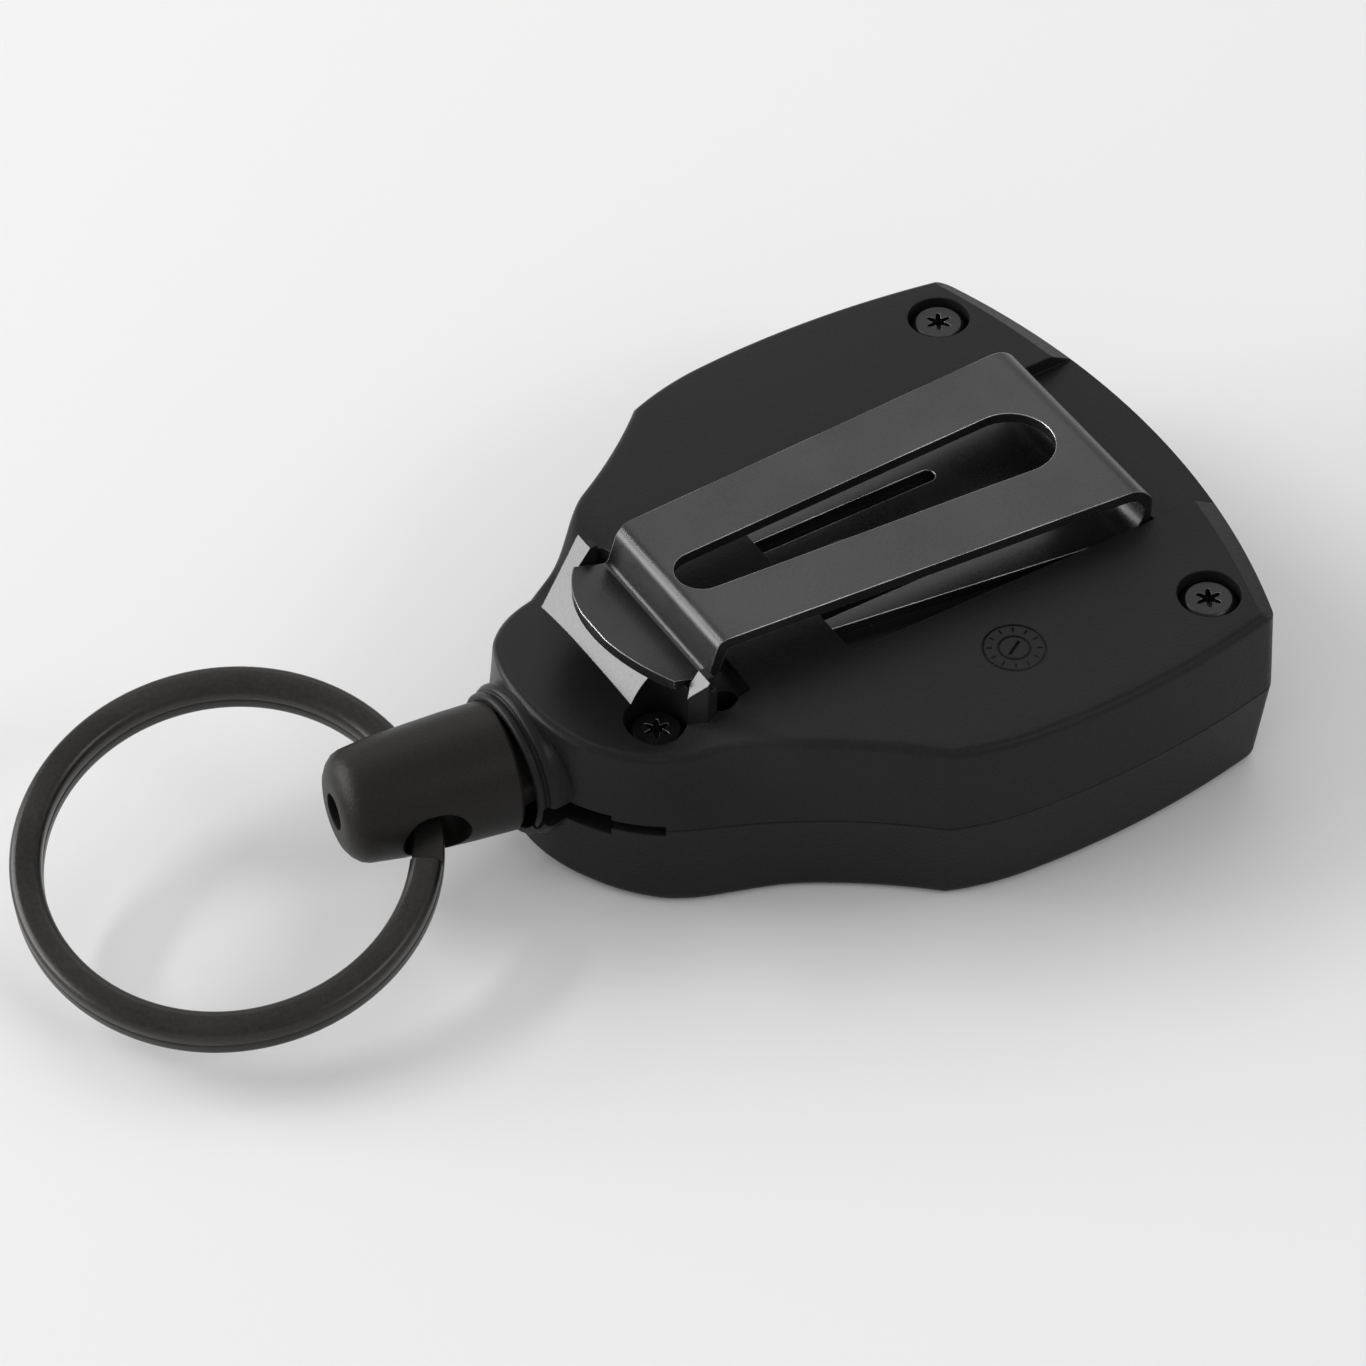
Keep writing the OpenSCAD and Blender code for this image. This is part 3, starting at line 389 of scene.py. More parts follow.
def bump(tree, height, strength, distance, normal):
    n = tree.nodes.new("ShaderNodeBump")
    n.inputs["Strength"].default_value = strength
    n.inputs["Distance"].default_value = distance
    tree.links.new(height, n.inputs["Height"])
    tree.links.new(normal, n.inputs["Normal"])
    return n.outputs["Normal"]


def rgba(r, g, b):
    return (r, g, b, 1)


def blend(tree, a, b, share):
    """A mix of two noises, the first with the weight share."""
    return maths(tree, "ADD", maths(tree, "MULTIPLY", a, share), maths(tree, "MULTIPLY", b, 1.0 - share))


# The noises lie round one half, so their tints and roughness run over this span
TINT_LOW, TINT_HIGH = 0.3, 0.7
# The grain fades out behind the ears, along X in metres, so that the neck is smoother, and comes
# back lower down on its flanks, along Z
FADE_X, FADE_Z = (-0.0218, -0.0212), (0.0125, 0.0155)
GRAIN_LEFT, GRAIN_ROUGH = 0.22, 0.1


def grained_plastic(name, dark, light, rough, grain, depth, smooth_zone=False, edge=0.00022, ior=1.25):
    mat, tree, bsdf = new_material(name)
    coords = tree.nodes.new("ShaderNodeTexCoord").outputs["Object"]
    fine = noise(tree, coords, grain, 3.0, 0.6)
    broad = noise(tree, coords, 90.0)
    tint = blend(tree, fine, broad, 0.6)
    color = mix_color(tree, map_range(tree, tint, TINT_LOW, TINT_HIGH, 0.0, 1.0), dark, light)
    tree.links.new(color, bsdf.inputs["Base Color"])
    height = fine
    roughness = map_range(tree, tint, TINT_LOW, TINT_HIGH, rough - 0.05, rough + 0.06)
    if smooth_zone:
        sep = tree.nodes.new("ShaderNodeSeparateXYZ")
        tree.links.new(coords, sep.inputs[0])
        zone_x = map_range(tree, sep.outputs["X"], *FADE_X, GRAIN_LEFT, 1.0)
        zone_z = map_range(tree, sep.outputs["Z"], *FADE_Z, 1.0, 0.0)
        mask = maths(tree, "MAXIMUM", zone_x, zone_z)
        height = maths(tree, "MULTIPLY", fine, mask)
        wear_and_highlight = maths(tree, "MULTIPLY", maths(tree, "SUBTRACT", 1.0, mask), GRAIN_ROUGH)
        roughness = maths(tree, "SUBTRACT", roughness, wear_and_highlight)
    tree.links.new(roughness, bsdf.inputs["Roughness"])
    tree.links.new(bump(tree, height, 0.55, depth, rounded(tree, edge)), bsdf.inputs["Normal"])
    bsdf.inputs["IOR"].default_value = ior
    return mat


# Painted edge highlight: how far the rounded normal turns from the flat one, and how patchy the painted
# highlight is
HIGHLIGHT_TURN, HIGHLIGHT_PATCH, HIGHLIGHT_LEAST = (0.93, 0.80), (0.35, 0.6), 0.35


def steel(name, base, alt, rough, metallic, brush, scale, depth, edge_highlight_color=None, edge=0.00018):
    mat, tree, bsdf = new_material(name)
    coords = tree.nodes.new("ShaderNodeTexCoord").outputs["Object"]
    mapping = tree.nodes.new("ShaderNodeMapping")
    mapping.inputs["Scale"].default_value = (1.0, 1.0, brush)
    tree.links.new(coords, mapping.inputs["Vector"])
    fine = noise(tree, mapping.outputs["Vector"], scale, 4.0, 0.6)
    broad = noise(tree, coords, 110.0)
    mix = blend(tree, fine, broad, 0.5)
    color = mix_color(tree, map_range(tree, mix, TINT_LOW, TINT_HIGH, 0.0, 1.0), base, alt)
    round_normal = rounded(tree, edge)
    if edge_highlight_color is not None:
        # Rounded edges are blended towards the lighter edge colour in patches: a painted highlight
        geo = tree.nodes.new("ShaderNodeNewGeometry")
        dot = tree.nodes.new("ShaderNodeVectorMath")
        dot.operation = "DOT_PRODUCT"
        tree.links.new(round_normal, dot.inputs[0])
        tree.links.new(geo.outputs["Normal"], dot.inputs[1])
        wear_and_highlight = map_range(tree, dot.outputs["Value"], *HIGHLIGHT_TURN, 0.0, 1.0)
        wear_and_highlight = maths(tree, "MULTIPLY", wear_and_highlight, map_range(tree, broad, *HIGHLIGHT_PATCH, HIGHLIGHT_LEAST, 1.0))
        color = mix_color(tree, wear_and_highlight, color, edge_highlight_color)
    tree.links.new(color, bsdf.inputs["Base Color"])
    bsdf.inputs["Metallic"].default_value = metallic
    roughness = map_range(tree, mix, TINT_LOW, TINT_HIGH, rough - 0.06, rough + 0.08)
    tree.links.new(roughness, bsdf.inputs["Roughness"])
    tree.links.new(bump(tree, fine, 0.35, depth, round_normal), bsdf.inputs["Normal"])
    return mat


M_CASE = grained_plastic("case_plastic", rgba(0.0075, 0.0075, 0.0076), rgba(0.013, 0.013, 0.0132),
                         0.42, 3800.0, 0.00009, smooth_zone=True)
# The ramp's copy of the case plastic has a lighter base colour than the case: painted highlight
M_RAMP_LIT = grained_plastic("ramp_plastic_lit", rgba(0.012, 0.012, 0.012), rgba(0.018, 0.018, 0.018),
                         0.24, 3200.0, 0.00001, edge=0.00012, ior=1.6)
M_HOLDER = grained_plastic("holder_plastic", rgba(0.0105, 0.0095, 0.0088), rgba(0.018, 0.0165, 0.0155),
                           0.4, 3800.0, 0.00008)
M_INNER = grained_plastic("inner_plastic", rgba(0.55, 0.53, 0.47), rgba(0.62, 0.6, 0.54),
                          0.45, 2500.0, 0.00001, edge=0.0001)
# The last colour given to each steel that has one is its painted edge highlight
M_CLIP = steel("clip_steel", rgba(0.042, 0.042, 0.043), rgba(0.07, 0.07, 0.071),
               0.3, 0.85, 1.0, 4200.0, 0.00002, rgba(0.75, 0.75, 0.76))
M_DARK = steel("dark_steel", rgba(0.022, 0.022, 0.023), rgba(0.04, 0.04, 0.04),
               0.34, 0.85, 1.0, 3000.0, 0.00001, rgba(0.3, 0.3, 0.3), 0.00012)
M_RING = steel("ring_steel", rgba(0.03, 0.0287, 0.0275), rgba(0.052, 0.0495, 0.0475),
               0.32, 0.9, 1.0, 2600.0, 0.00002, rgba(0.16, 0.155, 0.15), 0.00015)
M_BRIGHT = steel("bright_steel", rgba(0.5, 0.5, 0.51), rgba(0.62, 0.62, 0.63),
                 0.3, 1.0, 8.0, 1500.0, 0.00001)
M_SPRING = steel("spring_steel", rgba(0.3, 0.31, 0.34), rgba(0.42, 0.43, 0.46),
                 0.32, 1.0, 6.0, 1500.0, 0.00001)
M_BRASS = steel("bearing_brass", rgba(0.62, 0.46, 0.2), rgba(0.72, 0.56, 0.3),
                0.3, 1.0, 6.0, 1500.0, 0.00001)


def dress(obj, mat):
    obj.data.materials.clear()
    obj.data.materials.append(mat)


WELD, SLIVER = 0.000002, 0.000001


def refined(name, node, body, mat, deg=32.0):
    """A welded copy of a CAD solid with smooth shading up to the angle deg."""
    mesh = nodes[node].data.copy()
    mesh.name = name
    obj = bpy.data.objects.new(name, mesh)
    bpy.context.scene.collection.objects.link(obj)
    bm = bmesh.new()
    bm.from_mesh(mesh)
    bmesh.ops.remove_doubles(bm, verts=bm.verts, dist=WELD)
    bmesh.ops.dissolve_degenerate(bm, dist=SLIVER, edges=bm.edges)
    bm.to_mesh(mesh)
    bm.free()
    if mesh.has_custom_normals:
        bpy.context.view_layer.objects.active = obj
        with bpy.context.temp_override(object=obj, active_object=obj):
            bpy.ops.mesh.customdata_custom_splitnormals_clear()
    smooth_by_angle(obj, deg)
    dress(obj, mat)
    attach(obj, body)
    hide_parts(node)
    return obj


# Cover and housing blanks, lofted from rings; SEAM is the small chamfer at the parting line
SEAM = 0.1
WALL_STEPS, RIM_STEPS, CAP_COLS = 4, 8, 44


def rim_at(k):
    """Run in and rise left of a quarter round at step k, as shares of its radius."""
    t = math.pi / 2 * k / RIM_STEPS
    return 1 - math.cos(t), 1 - math.sin(t)


def cover_ring(line, drop, share=1.0):
    """A ring at a share of the wall's height, with the share drop of the rim still above it."""
    low = PART_Z + SEAM
    ring = []
    for p, w in zip(line, FULL_SHARE):
        high = top_at(p.x, p.y) - (COVER_RIM * (1 - w) + NOSE_RIM * w) * drop
        ring.append((p.x, p.y, low + (high - low) * share))
    return ring


cover_rings = [
    [(p.x, p.y, PART_Z) for p in full_line(SEAM)],
    [(p.x, p.y, PART_Z + SEAM) for p in full_line(0.0)]]
for k in range(1, WALL_STEPS):
    share = k / WALL_STEPS
    cover_rings.append(cover_ring(full_line(COVER_DRAFT * share, NOSE_DRAFT * share), 1.0, share))
for k in range(RIM_STEPS + 1):
    c, u = rim_at(k)
    cover_rings.append(cover_ring(full_line(COVER_DRAFT + COVER_RIM * c, NOSE_DRAFT + NOSE_RIM * c), u))
cover = ring_loft("back_cover_skin", cover_rings, CAP_COLS)

house_rings = []
for k in range(RIM_STEPS + 1):
    c, u = rim_at(k)
    line = full_line(HOUSE_DRAFT + HOUSE_RIM * u, HOUSE_NOSE + HOUSE_RIM * u)
    house_rings.append([(p.x, p.y, HOUSE_RIM * c) for p in line])
for k in range(1, WALL_STEPS):
    share = k / WALL_STEPS
    line = full_line(HOUSE_DRAFT * (1 - share), HOUSE_NOSE * (1 - share))
    house_rings.append([(p.x, p.y, HOUSE_RIM + (PART_Z - SEAM - HOUSE_RIM) * share) for p in line])
house_rings.append([(p.x, p.y, PART_Z - SEAM) for p in full_line(0.0)])
house_rings.append([(p.x, p.y, PART_Z) for p in full_line(SEAM)])
house = ring_loft("front_housing_skin", house_rings)

# Sizes of the cover's details
EAR_Z, EAR_FRONT, EAR_BACK, EAR_OUT, EAR_IN = 22.1, 25.55, 24.8, 11.2, 9.1
RAMP_FOOT, RAMP_HW, RAMP_SINK, RAMP_LOW = 29.8, 12.6, 1.0, 13.0
RAMP_SLOPE = (EAR_Z - VALLEY_LOW) / (RAMP_FOOT - EAR_FRONT)
POCKET_X, POCKET_END, POCKET_HW, POCKET_Z, POCKET_R = 11.1, 22.1, 11.5, 16.7, 0.8
TRENCH_Z, TRENCH_W, TRENCH_HW, TRENCH_R = (POCKET_Z + BACK_Z) * 0.5, 3.7, EAR_OUT * 0.97, 0.5
BAND_W, BAND_H = 2.4, 1.5
ABOVE = 26.0
HEAD_H, HEAD_SINK = 1.7, 0.6
BORE_R, PILOT_R, PILOT_LEN = 2.9, 1.45, 10.6
WIDE_X, WIDE_Y = 20.0, 21.82
WIDE_HEAD = top_at(WIDE_X, WIDE_Y) - HEAD_H * HEAD_SINK - HEAD_H
NECK_SCREW = (-28.9, -7.5, 13.5)
SPOTS = [(WIDE_X, WIDE_Y, WIDE_HEAD), (WIDE_X, -WIDE_Y, WIDE_HEAD), NECK_SCREW]
TONGUE_X, TONGUE_HW, TONGUE_PLAY, TONGUE_Z = 29.9, 8.5, 0.4, 21.5
TONGUE_ARC = TONGUE_HW * 1.75
VALLEY_Z, CLIP_T = 20.3, 1.1
CHAMBER_R, FRONT_WALL, CEILING_Z = 25.6, 1.8, 15.2
TO_MOUTH = Matrix.Translation((0.0, 0.0, MOUTH_Z)) @ Matrix.Rotation(rad(-90), 4, "Y")


def tongue_plan(grow, steps=24):
    """The round end of the clip's tongue from above, larger by grow."""
    c = TONGUE_X - TONGUE_ARC
    r = TONGUE_ARC + grow
    a = math.asin((TONGUE_HW + grow) / r)
    turns = [a - 2 * a * i / steps for i in range(steps + 1)]
    return [(-c - r * math.cos(t), r * math.sin(t)) for t in turns]


# The sloping band along the wide end
band = turned("band_cut", [
    (END_R - COVER_DRAFT - BAND_W, BACK_Z),
    (END_R + BAND_W, BACK_Z),
    (END_R + BAND_W, BACK_Z - 2 * BAND_H),
    (END_R - COVER_DRAFT, BACK_Z - BAND_H)], Matrix.Translation((END_X - END_R, 0.0, 0.0)), 720)
combine(cover, [band], "DIFFERENCE")

# The ramp with its two ears, hollowed for the tongue, notched and cut to its flanks
ramp = prism_xz("ramp_block", [
    (-RAMP_FOOT - RAMP_SINK / RAMP_SLOPE, VALLEY_LOW - RAMP_SINK),
    (-EAR_FRONT, EAR_Z),
    (-EAR_BACK, EAR_Z),
    (-EAR_BACK, RAMP_LOW),
    (-RAMP_FOOT, RAMP_LOW)], -RAMP_HW, RAMP_HW)
FALL = (TONGUE_Z - VALLEY_Z) / (TONGUE_X - EAR_BACK + CLIP_T * 0.6)
UNDER = TONGUE_Z - CLIP_T - TONGUE_PLAY
HOLLOW_END, HOLLOW_LOW, HOLLOW_HIGH = -20.0, 15.0, 30.0
under = prism_xy("under_tongue", tongue_plan(TONGUE_PLAY) + [(HOLLOW_END, -EAR_IN), (HOLLOW_END, EAR_IN)],
                 HOLLOW_LOW, HOLLOW_HIGH)
corners = box("under_corners", -EAR_FRONT * 1.05, HOLLOW_END, -EAR_IN, EAR_IN, HOLLOW_LOW, HOLLOW_HIGH)
above = prism_xz("above_plane", [
    (-TONGUE_X - 2 * CLIP_T, UNDER + FALL * 2 * CLIP_T),
    (0.0, UNDER - FALL * TONGUE_X),
    (0.0, 40.0),
    (-TONGUE_X - 2 * CLIP_T, 40.0)], -20.0, 20.0)
combine(under, [corners], "UNION")
combine(under, [above], "INTERSECT")
notches = [
    box("notch_a", -25.45, -23.0, -12.0, -10.42, EAR_Z - CLIP_T, 24.0),
    box("notch_b", -25.45, -23.0, 10.42, 12.0, EAR_Z - CLIP_T, 24.0)]
flanks = []
for side, foot, mid, top in ((-1, 9.0, 9.9, 11.0), (1, 10.3, 10.9, 11.2)):
    flanks.append(prism_xy("flank", [
        (-2 * RAMP_FOOT, side * foot),
        (-RAMP_FOOT, side * foot),
        (-27.0, side * mid),
        (-EAR_FRONT - 0.2, side * top),
        (0.0, side * top),
        (0.0, side * EAR_OUT * 2),
        (-2 * RAMP_FOOT, side * EAR_OUT * 2)], 12.0, 30.0))
combine(ramp, [under] + notches + flanks, "DIFFERENCE")

# Section of the collar, as (radius, distance out), with its bead and its rolled lip
COLLAR = [
    (4.3, 33.4), (4.9, 33.4), (4.9, 37.3), (7.0, 37.3), (7.1, 38.5), (7.12, 38.9), (7.0, 39.2),
    (6.8, 39.36), (6.6, 39.38), (6.52, 39.5), (6.6, 39.7), (6.72, 39.95), (6.7, 40.15),
    (6.55, 40.33), (6.3, 40.4), (6.05, 40.34), (5.95, 40.1), (4.3, 36.5)]
THROAT = [(0.0, 31.4), (4.3, 31.4), (4.3, 36.52), (5.9, 40.05), (5.9, 45.0), (0.0, 45.0)]


def half_collar(name, z0, z1):
    collar = turned(name, COLLAR, TO_MOUTH, 128)
    return combine(collar, [box("keep", -60, 0, -20, 20, z0, z1)], "INTERSECT")


combine(cover, [ramp, half_collar("collar_up", PART_Z, 30.0)], "UNION")
combine(house, [half_collar("collar_low", -5.0, PART_Z)], "UNION")


def bore_cutters():
    """Screw holes with their counterbores, and the throat of the mouth."""
    out = []
    for x, y, z in SPOTS:
        out.append(cylinder("bore", x, y, BORE_R, z, ABOVE, 72))
        out.append(cylinder("pilot", x, y, PILOT_R, z - PILOT_LEN, z + 0.2, 32))
    out.append(turned("throat", THROAT, TO_MOUTH, 96, closed=False))
    return out


def rounded_rect(x0, x1, hw, r, steps=6):
    pts = []
    x2, x3, y2 = x0 + r, x1 - r, hw - r
    for cx, cy, a0 in ((x3, y2, 0.0), (x2, y2, 90.0), (x2, -y2, 180.0), (x3, -y2, 270.0)):
        for i in range(steps + 1):
            a = rad(a0 + 90.0 * i / steps)
            pts.append((cx + r * math.cos(a), cy + r * math.sin(a)))
    return pts


# The slot in one flank of the neck: its height and depth, its two stretches in degrees, the shares
# of its height in the cover and in the housing, and how much of those the second stretch keeps
SLOT_H, SLOT_D = 2.1, 2.2
SLOT_FROM, SLOT_STEP, SLOT_TO = 193.0, 219.0, 236.0
SLOT_UP, SLOT_DOWN, SLOT_LOW = 0.42, 0.66, 0.45


def side_slot(side):
    h = SLOT_H * (SLOT_UP if side > 0 else SLOT_DOWN)
    flare = 0.0 if side > 0 else SLOT_D * 0.3
    back, front = NOSE_R - SLOT_D, NOSE_R + SLOT_D
    step, lip = NOSE_R - SLOT_D * 0.6, NOSE_R - HOUSE_DRAFT * 0.4
    z0, z1, z2, z3 = [PART_Z + side * v for v in (-h, h, h + flare, h * SLOT_LOW)]
    return [
        sector("side_slot", [(back, z0), (front, z0), (front, z2), (lip, z1), (back, z1)],
               SLOT_FROM, SLOT_STEP),
        sector("side_slot_end", [(step, z0), (front, z0), (front, z3), (step, z3)],
               SLOT_STEP - 0.1, SLOT_TO, 10)]


cuts = bore_cutters()
cuts.append(cylinder("chamber", 0.0, 0.0, CHAMBER_R, 5.0, CEILING_Z, 128))
cuts.append(prism_xy("pocket", rounded_rect(-POCKET_X, POCKET_END, POCKET_HW, POCKET_R), POCKET_Z, ABOVE))
cuts.append(box("channel", 0.0, 60.0, -POCKET_HW, POCKET_HW, BACK_Z - BAND_H, ABOVE))
cuts.append(prism_xy("trench", rounded_rect(-EAR_BACK, -EAR_BACK + TRENCH_W, TRENCH_HW, TRENCH_R),
                     TRENCH_Z, ABOVE))
EAR_PITS = ((-23.4, -9.9, 1.3), (-23.9, 10.9, 1.45))
for x, y, r in EAR_PITS:
    cuts.append(cylinder("ear_pit", x, y, r, PART_Z + 5.0, ABOVE, 40))
RIVET_X, RIVET_R = 4.3, 1.2
cuts.append(cylinder("rivet_hole", -RIVET_X, 0.0, RIVET_R, 14.0, 18.0, 32))
cuts += side_slot(1)
combine(cover, cuts, "DIFFERENCE")

# A plain moulded date dial with generic ticks and a bare slot
DIAL_X, DIAL_Y, DIAL_R, DIAL_TOP = 1.41, -18.5, 2.9, 22.0
DIAL_DEEP, TICK_DEEP, DIAL_SLOT_DEEP = 0.16, 0.14, 0.3
TICKS, TICK_IN, TICK_OUT, TICK_HW = 12, 0.68, 0.86, 0.07
DIAL_SLOT_DEG, DIAL_SLOT_HL, DIAL_SLOT_HW = 31.0, 0.95, 0.13
DIAL_Z = top_at(DIAL_X, DIAL_Y)


def dial_bar(name, turn, r0, r1, hw, deep):
    """A straight bar cut from r0 to r1 along the direction turn, measured from the dial's middle."""
    c = Vector((DIAL_X, DIAL_Y))
    u, v = around(turn), around(turn + math.pi / 2)
    quad = [c + u * r0 - v * hw, c + u * r1 - v * hw, c + u * r1 + v * hw, c + u * r0 + v * hw]
    return prism_xy(name, [(p.x, p.y) for p in quad], DIAL_Z - deep, DIAL_TOP)


dial = [
    tube("dial_ring", DIAL_X, DIAL_Y, DIAL_R * 0.93, DIAL_R, DIAL_Z - DIAL_DEEP, DIAL_TOP, 72),
    tube("dial_core", DIAL_X, DIAL_Y, DIAL_R * 0.45, DIAL_R * 0.52, DIAL_Z - DIAL_DEEP, DIAL_TOP, 48)]
for k in range(TICKS):
    turn = 2 * math.pi * k / TICKS
    dial.append(dial_bar("tick", turn, DIAL_R * TICK_IN, DIAL_R * TICK_OUT, TICK_HW, TICK_DEEP))
dial.append(dial_bar("dial_slot", rad(DIAL_SLOT_DEG), -DIAL_SLOT_HL, DIAL_SLOT_HL,
                     DIAL_SLOT_HW, DIAL_SLOT_DEEP))
combine(cover, dial, "DIFFERENCE")

# Inside of the front housing, with the low boss that carries the axle
BOSS_R, CORE_R, BOSS_Z, HOUSE_ABOVE = 4.6, 4.7, 2.6, 12.0
cuts = bore_cutters()
cuts.append(tube("chamber_low", 0.0, 0.0, BOSS_R, CHAMBER_R, FRONT_WALL, HOUSE_ABOVE, 128))
cuts.append(cylinder("chamber_core", 0.0, 0.0, CORE_R, BOSS_Z, HOUSE_ABOVE, 64))
cuts += side_slot(-1)
combine(house, cuts, "DIFFERENCE")

for obj, node in ((cover, "back_cover"), (house, "front_housing")):
    smooth_by_angle(obj, 30.0)
    dress(obj, M_CASE)
    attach(obj, "case")
    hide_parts(node)

# The ramp's face: a glossier copy of the case plastic, whose lighter base colour is a painted highlight
cover.data.materials.append(M_RAMP_LIT)
ramp_n = Vector((-RAMP_SLOPE, 0.0, 1.0)).normalized()
for f in cover.data.polygons:
    c = f.center / MM
    if f.normal.dot(ramp_n) > 0.995 and -31.0 < c.x < -24.8 and abs(c.y) <= 12.7:
        f.material_index = 1

# The other pieces are copies of the CAD solids
clip = refined("belt_clip_skin", "belt_clip", "case", M_CLIP, 25.0)
# The clip's tongue flares out and up towards its tip
FLARE_FROM, FLARE_RUN, FLARE_ABOVE, FLARE_OUT, FLARE_UP = 25.2, 4.7, 18.0, 1.0, 1.15
for v in clip.data.vertices:
    t = (-v.co.x / MM - FLARE_FROM) / FLARE_RUN
    if t > 0 and v.co.z / MM > FLARE_ABOVE:
        v.co.x -= FLARE_OUT * t * MM
        v.co.z += FLARE_UP * t * MM
refined("clip_rivet_skin", "clip_rivet", "case", M_DARK)
refined("rivet_washer_skin", "rivet_washer", "case", M_BRIGHT)
screws = refined("case_screws_skin", "case_screws", "case", M_DARK)
# The heads of the two screws at the wide end stand a little higher
HEAD_FLOOR, HEAD_RISE = WIDE_HEAD + HEAD_H * 0.35, 0.5
for v in screws.data.vertices:
    if v.co.x > 0 and v.co.z / MM > HEAD_FLOOR:
        v.co.z += HEAD_RISE * MM
refined("axle_skin", "axle", "case", M_BRIGHT)
refined("spring_arbor_skin", "spring_arbor", "case", M_INNER)
refined("axle_washers_skin", "axle_washers", "case", M_INNER)
refined("axle_ring_skin", "axle_ring", "case", M_SPRING)
refined("mouth_bush_skin", "mouth_bush", "case", M_BRASS)
refined("power_spring_skin", "power_spring", "case", M_SPRING)
refined("spool_skin", "spool", "spool", M_INNER)
refined("spool_cap_skin", "spool_cap", "spool", M_INNER)
refined("spool_bushings_skin", "spool_bushings", "spool", M_BRASS)
refined("cord_ferrule_skin", "cord_ferrule", "cord_end", M_BRIGHT)
holder = refined("ring_holder_skin", "ring_holder", "holder", M_HOLDER)
# The fitting's near end is set back from the mouth's collar along the fitting's own axis
HOLDER_YAW, HOLDER_ROLL, RING_PITCH = 9.5, -11.1, 7.1
NEAR_LEN, NEAR_SHIFT = 3.5, 0.75
HOLDER_AXIS = Vector((-math.cos(rad(HOLDER_YAW)), math.sin(rad(HOLDER_YAW)), 0.0))
for v in holder.data.vertices:
    s = (v.co / MM - Vector((-HOLDER_START, 0.0, MOUTH_Z))).dot(HOLDER_AXIS)
    if s < NEAR_LEN:
        v.co += HOLDER_AXIS * (NEAR_SHIFT * (1 - s / NEAR_LEN) * MM)
refined("holder_plug_skin", "holder_plug", "holder", M_HOLDER)


# The split ring as the one wound wire it is: two turns and the crossing between them
RING_R, RING_W, RING_H, SLOT_AT = 19.05, 2.85, 3.5, 8.9
RING_AT = Matrix.Translation((-HOLDER_START, 0.0, MOUTH_Z))
RING_AT = RING_AT @ Matrix.Rotation(rad(180 - HOLDER_YAW), 4, "Z")
RING_AT = RING_AT @ Matrix.Rotation(rad(HOLDER_ROLL), 4, "X")
RING_AT = RING_AT @ Matrix.Translation((SLOT_AT, 0.0, 0.0))
RING_AT = RING_AT @ Matrix.Rotation(rad(RING_PITCH), 4, "Y")
RING_AT = RING_AT @ Matrix.Translation((RING_R - RING_W / 2, 0.0, 0.0))
WIRE_H = RING_H / 2 - 0.02
TURN_GAP = 0.012
CROSS_FROM, CROSS_TO = 153.0, 198.0
WIRE_STEPS, END_SOFT = 300, 0.12
SHARP, ROUND = 0.2, 0.85


def wire_section(up, grow):
    """Outline of the wire, flat against the other turn and well rounded on its free side."""
    top, low = SHARP + (ROUND - SHARP) * up, ROUND - (ROUND - SHARP) * up
    hw, hh = RING_W / 2 - grow, WIRE_H / 2 - grow
    pts = []
    for cx, cz, r, a0 in ((1, 1, top, 0), (-1, 1, top, 90), (-1, -1, low, 180), (1, -1, low, 270)):
        r = max(0.02, r - grow)
        for i in range(7):
            a = rad(a0 + 15 * i)
            pts.append((cx * (hw - r) + r * math.cos(a), cz * (hh - r) + r * math.sin(a)))
    return pts


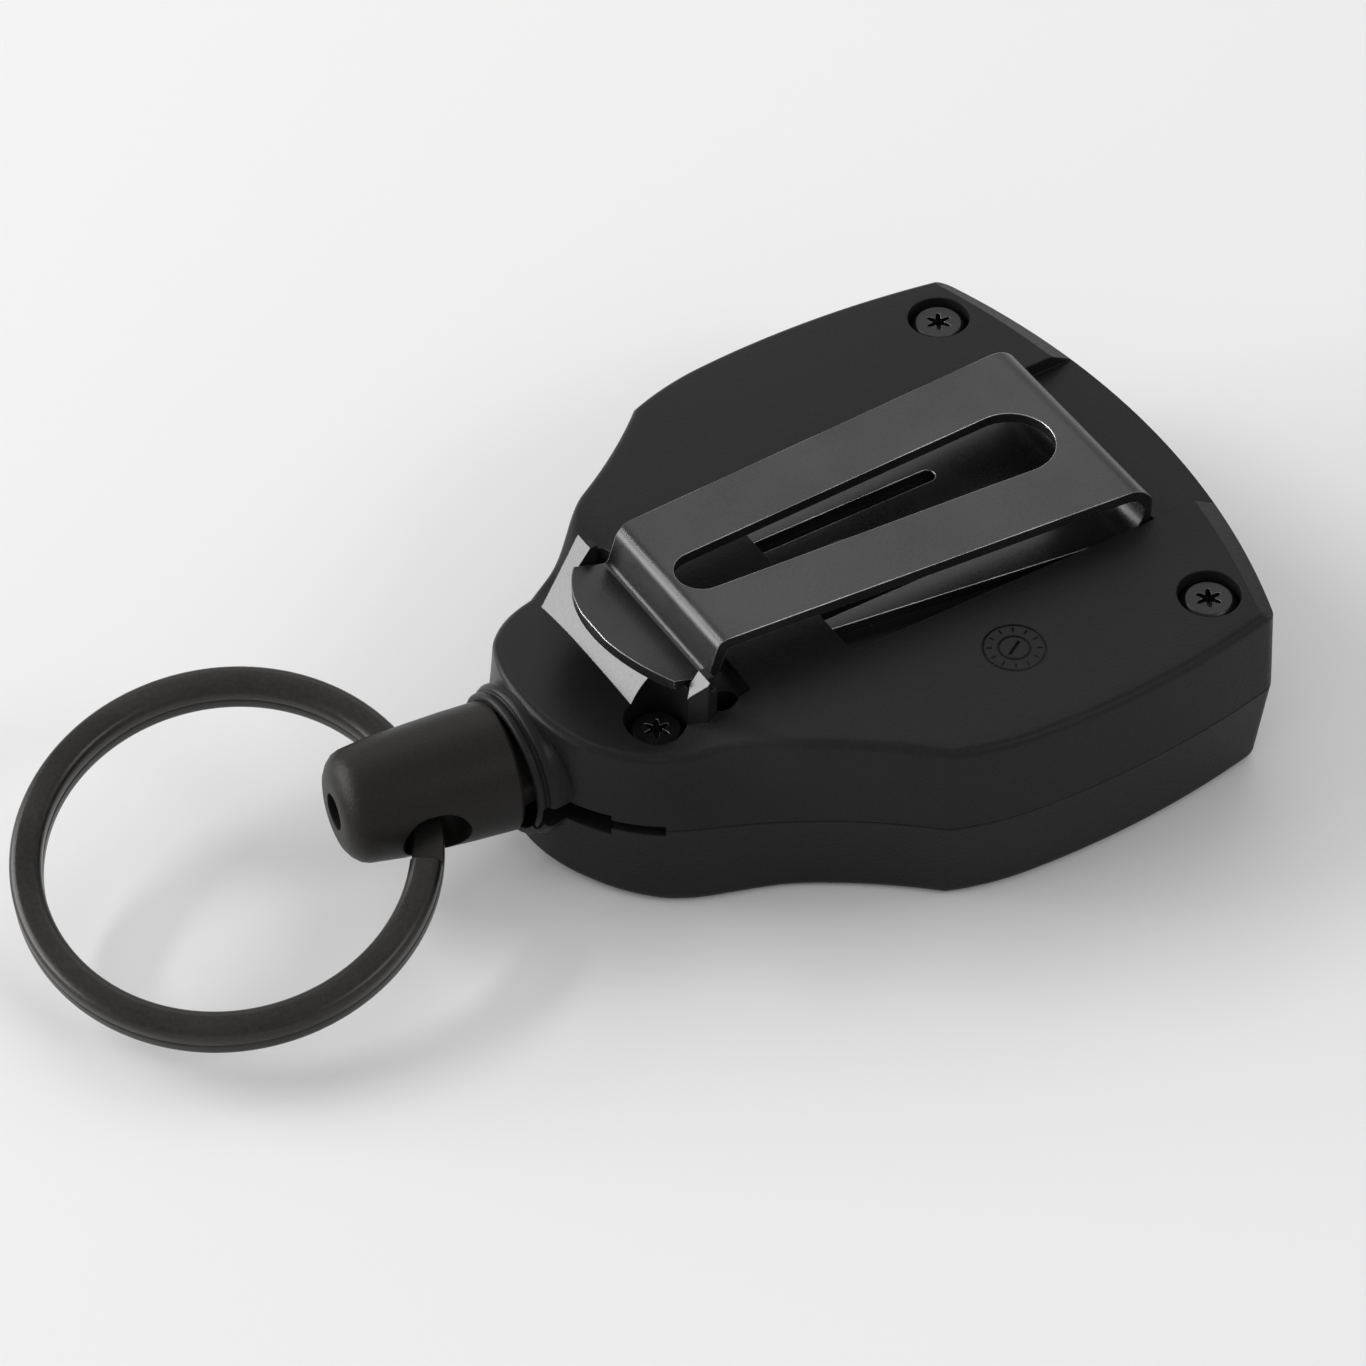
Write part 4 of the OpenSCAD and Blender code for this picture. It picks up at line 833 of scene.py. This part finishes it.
def wire_row(bm, k):
    """The wire's section at step k; one extra step at each end is smaller and lies further out."""
    step = min(max(k, 0), WIRE_STEPS)
    a = CROSS_TO + (CROSS_FROM + 720.0 - CROSS_TO) * step / WIRE_STEPS
    up = soft_step((a - CROSS_FROM - 360.0) / (CROSS_TO - CROSS_FROM))
    z = (2 * up - 1) * (WIRE_H / 2 + TURN_GAP)
    off = END_SOFT * (k - step)
    c, n = math.cos(rad(a)), math.sin(rad(a))
    row = []
    for w, h in wire_section(up, abs(off)):
        r = RING_R - RING_W / 2 + w
        row.append(bm.verts.new((RING_AT @ Vector((r * c - off * n, r * n + off * c, z + h))) * MM))
    return row


bm = bmesh.new()
rows = [wire_row(bm, k) for k in range(-1, WIRE_STEPS + 2)]
walls(bm, rows)
bm.faces.new(list(reversed(rows[0])))
bm.faces.new(rows[-1])
ring = solid_object("split_ring_wire", bm)
smooth_by_angle(ring, 35.0)
dress(ring, M_RING)
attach(ring, "ring")
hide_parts("split_ring")

# Floor and light
FLOOR_Z = -0.00005
bm = bmesh.new()
bm.faces.new([bm.verts.new((x, y, FLOOR_Z)) for x, y in ((-4, -4), (4, -4), (4, 6), (-4, 6))])
floor = new_object("floor", bm)
mat, tree, bsdf = new_material("floor_paper")
bsdf.inputs["Base Color"].default_value = (0.8, 0.8, 0.8, 1)
bsdf.inputs["Roughness"].default_value = 0.9
dress(floor, mat)

world = bpy.data.worlds.new("studio")
world.use_nodes = True
sky = world.node_tree.nodes["Background"]
sky.inputs["Color"].default_value = (1.0, 1.0, 1.0, 1)
sky.inputs["Strength"].default_value = 0.57
bpy.context.scene.world = world
bpy.context.scene.view_settings.view_transform = "Standard"
bpy.context.scene.view_settings.look = "None"
LIT_POINT = Vector((-0.02, 0.0, 0.01))


def softbox(name, direction, distance, size_x, size_y, power):
    light = bpy.data.lights.new(name, "AREA")
    light.shape = "RECTANGLE"
    light.size = size_x
    light.size_y = size_y
    light.energy = power
    obj = bpy.data.objects.new(name, light)
    d = Vector(direction).normalized()
    obj.location = LIT_POINT + d * distance
    obj.rotation_euler = (-d).to_track_quat("-Z", "Y").to_euler()
    bpy.context.scene.collection.objects.link(obj)


softbox("left_back_box", (-0.78, 0.605, 0.23), 2.2, 2.3, 0.9, 46.0)
softbox("back_strip", (-0.53, 0.60, 0.59), 0.9, 0.55, 0.07, 2.2)
softbox("top_box", (0.38, 0.60, 0.70), 1.2, 1.0, 0.8, 2.0)
softbox("front_box", (0.39, -0.69, 0.60), 1.1, 0.5, 0.3, 1.7)
